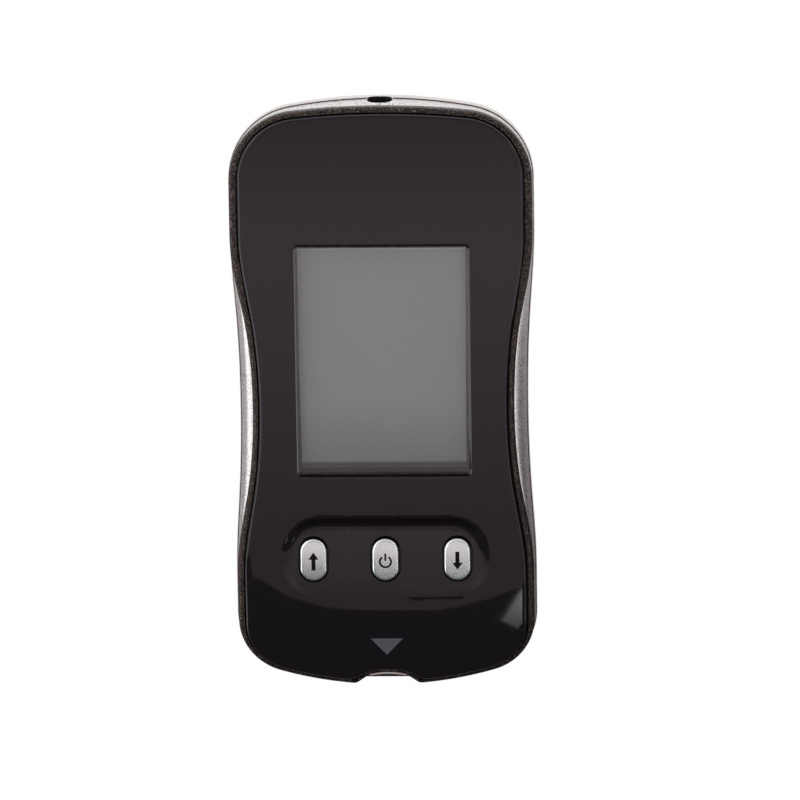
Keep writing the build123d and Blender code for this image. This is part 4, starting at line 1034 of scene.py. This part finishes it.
# The triangle that points at the strip port is printed on the panel.
mark_width, mark_length, mark_base_y = 5.0, 2.77, -38.54
mark_ink = plain_material("mark_grey", (0.080, 0.085, 0.096), (0.11, 0.115, 0.125), 0.38)
mark_outline = np.array(
    [(-mark_width / 2, mark_base_y), (mark_width / 2, mark_base_y), (0, mark_base_y - mark_length)]
)
mark = inlay(
    "port_triangle", divided(mark_outline), face_height, mark_ink, rise=0.02, depth=0.06, step=0.5
)
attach(mark, "meter")
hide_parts("port_mark")

# ================================================================== window lens
# Clear hard-coated acrylic plate that drops onto a ledge in the window. Its top edge is
# chamfered and polished.
lens_bottom, lens_top, lens_chamfer = 13.10, 13.90, 0.06
lens_width, lens_length, lens_corner = 26.46, 36.1, 0.7
lens_loop = rounded_rectangle(
    lens_width, lens_length, lens_corner, (0, window_centre_y), count=8, step=1.0
)
lens_rings = [(0.0, lens_bottom), (0.0, lens_top - lens_chamfer), (lens_chamfer, lens_top)]
lens_layers = [raised(moved_in(lens_loop, inset), level) for inset, level in lens_rings]
lens_faces = capped_faces(len(lens_rings), len(lens_loop))
lens_material, tree, where, shader = shader_material("clear_window")
clear = (0.97, 0.98, 0.98, 1)
lay_on(tree, shader, handled_skin(tree, where, clear, roughness=0.02, smear=0.02, dust=0.0))
shader.inputs["IOR"].default_value = 1.49
shader.inputs["Transmission Weight"].default_value = 1.0
lens = weld(mesh_object("display_window", np.concatenate(lens_layers), lens_faces, lens_material))
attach(lens, "meter")
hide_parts("window_lens")

# ================================================================== keys
# Three upright oval silver keys. Below the top and its rounded edge a key's side is painted black:
# painted shade where it stands down in the scoop and in the gap round it. Each has a flange under
# the panel and stands on the silicone mat over a steel dome.
key_top, flange_top, flange_bottom, flange_lip = 14.985, 12.55, 11.75, 0.7
shade_below = 14.42                             # below this a key's side is painted black, as painted shade
key_bevel, key_dome = 0.34, 0.25
key_narrow = key_width / 2 - 0.004             # half width, less what is left on the middle line
key_reach = 0.012                              # points of the middle line this close are joined
key_metal, tree, where, shader = shader_material("key_silver")
satin = grained_skin(tree, where, 0.13, (0.78, 0.84, 0.80), (0.68, 0.73, 0.70), 0.22, 0.10)
_, _, level = place_parts(tree)
# Painted shade: a key's side is black, without metal, below the height given above.
above_shade = past(tree, level, shade_below, 0.02)
shaded_key = mix_colour(tree, above_shade, (0.006, 0.006, 0.006, 1), satin.outputs["Color"])
feed(tree, shader.inputs["Base Color"], shaded_key)
feed(tree, shader.inputs["Roughness"], satin.outputs["Roughness"])
feed(tree, shader.inputs["Normal"], bumped(tree, satin.outputs["Height"], 0.004))
feed(tree, shader.inputs["Metallic"], math_node(tree, "MULTIPLY", above_shade, 0.9))
legend_ink = plain_material("legend_ink", (0.004, 0.004, 0.005), (0.007, 0.007, 0.008), 0.6)
legend_shader = legend_ink.node_tree.nodes["Principled BSDF"]
legend_shader.inputs["Specular IOR Level"].default_value = 0.1


def key_drop(y):
    """How far a key's top is below its crown: a parabola along the key."""
    return key_dome * ((y - key_centre_y) / (key_length / 2)) ** 2


def key_surface(x, y):
    """Height of a key's crowned top."""
    return key_top - key_drop(y)


def key_form(name, centre):
    """A key: slot-shaped rings from its flange up over a quarter-round bevel and across its
    crowned top, closed on the long middle line."""
    turn = np.linspace(0, pi / 2, 6)
    section = [(key_narrow, flange_bottom), (-flange_lip, flange_bottom), (-flange_lip, flange_top),
               (0.0, flange_top)]
    section += list(zip(key_bevel * (1 - np.cos(turn)), key_top - key_bevel * (1 - np.sin(turn))))
    section += [(inset, key_top) for inset in np.linspace(key_bevel, key_narrow, 9)[1:]]
    rings = []
    for inset, height in section:
        loop = capsule(key_width - 2 * inset, key_length - 2 * inset, centre)
        crowned = height - key_drop(loop[:, 1]) if height > flange_top else height
        rings.append(raised(loop, crowned))
    return ring_piece(name, rings, key_metal, reach_mm=key_reach)


arrow_half, shaft_half, arrow_height, head_height = 0.78, 0.31, 2.90, 1.15
ring_outer, ring_inner, ring_shift = 1.02, 0.72, -0.1
ring_opening = radians(34)                     # half the gap at the top of the ring
legend_shift = -0.12


def arrow(way):
    """Outline of an arrow that points along way: a triangular head on a straight shaft."""
    tip, neck, foot = arrow_height / 2, arrow_height / 2 - head_height, -arrow_height / 2
    half = [(0, tip), (arrow_half, neck), (shaft_half, neck), (shaft_half, foot)]
    return np.array(half + [(-x, y) for x, y in half[:0:-1]]) * (way, way)


def standby_ring():
    """Outline of a standby sign's broken ring: an outer arc and, back along it, an inner arc."""
    turn = np.linspace(ring_opening, 2 * pi - ring_opening, 36)
    round_the_ring = np.column_stack([np.sin(turn), np.cos(turn)])
    outline = np.concatenate([round_the_ring * ring_outer, round_the_ring[::-1] * ring_inner])
    return outline + (0, ring_shift)


standby_bar = np.array([(-0.15, 1.22), (0.15, 1.22), (0.15, 0.05), (-0.15, 0.05)])
key_signs = {
    "key_up": [("arrow", arrow(1))],
    "key_power": [("ring", standby_ring()), ("bar", standby_bar)],
    "key_down": [("arrow", arrow(-1))],
}
for (key_name, signs), body, centre in zip(
    key_signs.items(), ("up_key", "power_key", "down_key"), key_centres
):
    cap = key_form(key_name + "_cap", centre)
    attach(cap, body)
    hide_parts(key_name)
    for sign, outline in signs:
        placed = divided(outline, 0.2) + centre + np.array((0, legend_shift))
        legend = inlay(
            f"{key_name}_{sign}", placed, key_surface, legend_ink, rise=0.012, depth=0.04, step=0.25
        )
        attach(legend, body)

dress("keypad_mat", plain_material("silicone", (0.32, 0.33, 0.34), (0.26, 0.27, 0.28), 0.6))
dress("snap_domes", plain_material("dome_steel", (0.62, 0.61, 0.59), (0.52, 0.51, 0.5), 0.28,
                                   grain_mm=0.4, metallic=1.0))

# ================================================================== strip port
# Black moulded guide behind the notch, with a painted highlight along its curved edge where the
# strip is pushed in, and the connector on the board with its three plated springs.
highlight_half, highlight_near, highlight_far, highlight_bow = 2.9, -44.92, -45.22, -0.30
guide_plastic, tree, where, shader = shader_material("strip_guide")
across, along, _ = place_parts(tree)
share = math_node(tree, "ABSOLUTE", math_node(tree, "MULTIPLY", across, 1 / highlight_half))
bow = math_node(tree, "MULTIPLY", math_node(tree, "POWER", share, 2.0), highlight_bow)
along = math_node(tree, "SUBTRACT", along, bow)
edge_highlight = math_node(tree, "MULTIPLY", past(tree, along, highlight_far), past(tree, highlight_near, along))
edge_highlight = math_node(tree, "MULTIPLY", edge_highlight, past(tree, 1.0, share, 0.1))
skin = grained_skin(tree, where, 0.2, (0.005, 0.005, 0.006), (0.009, 0.009, 0.009), 0.30, 0.1)
lay_on(tree, shader, skin)
# Painted highlight: a pale curved band on the black guide, where its edge would catch the light.
highlighted = mix_colour(tree, edge_highlight, skin.outputs["Color"], (0.72, 0.68, 0.62, 1))
feed(tree, shader.inputs["Base Color"], highlighted)
dress("strip_guide", guide_plastic)
dress("strip_connector", moulded_black)
gold_plate = plain_material("gold_contact", (0.78, 0.58, 0.25), (0.66, 0.47, 0.2), 0.25,
                            grain_mm=0.3, metallic=1.0)
for contact in ("strip_contacts", "jack_contacts", "negative_contacts", "positive_contacts"):
    dress(contact, gold_plate)

# ================================================================== data socket
# Black moulded jack on the board, behind the oval opening in the socket end.
jack_plastic = plain_material("jack_plastic", (0.004, 0.004, 0.004), (0.007, 0.006, 0.006), 0.6)
jack_plastic.node_tree.nodes["Principled BSDF"].inputs["Specular IOR Level"].default_value = 0.1
dress("data_jack", jack_plastic)

# ================================================================== coin cells and door
# Two nickel-plated lithium cells held by plated springs under a sliding door, which is painted
# like the rear case and has a foam pad inside that keeps the cells from rattling.
cell_steel = plain_material("cell_steel", (0.66, 0.66, 0.65), (0.54, 0.54, 0.53), 0.22,
                            grain_mm=0.35, metallic=1.0)
dress("coin_cell_lower", cell_steel)
dress("coin_cell_upper", cell_steel)
dress("battery_door", silver_paint)
dress("battery_pad", plain_material("pad_foam", (0.03, 0.03, 0.03), (0.05, 0.05, 0.05), 0.9,
                                    grain_mm=0.15, relief_mm=0.04))

# ================================================================== screws and label
# Zinc-plated cross-head screws sunk in wells in the rear case, and a bare matt film label in
# its shallow recess.
screw_steel = plain_material("screw_steel", (0.52, 0.52, 0.51), (0.4, 0.4, 0.39), 0.3,
                             grain_mm=0.3, metallic=1.0)
dress("case_screws", screw_steel)
dress("board_screws", screw_steel)
dress("rear_label", plain_material("label_film", (0.72, 0.72, 0.71), (0.68, 0.68, 0.67), 0.55,
                                   grain_mm=0.6))
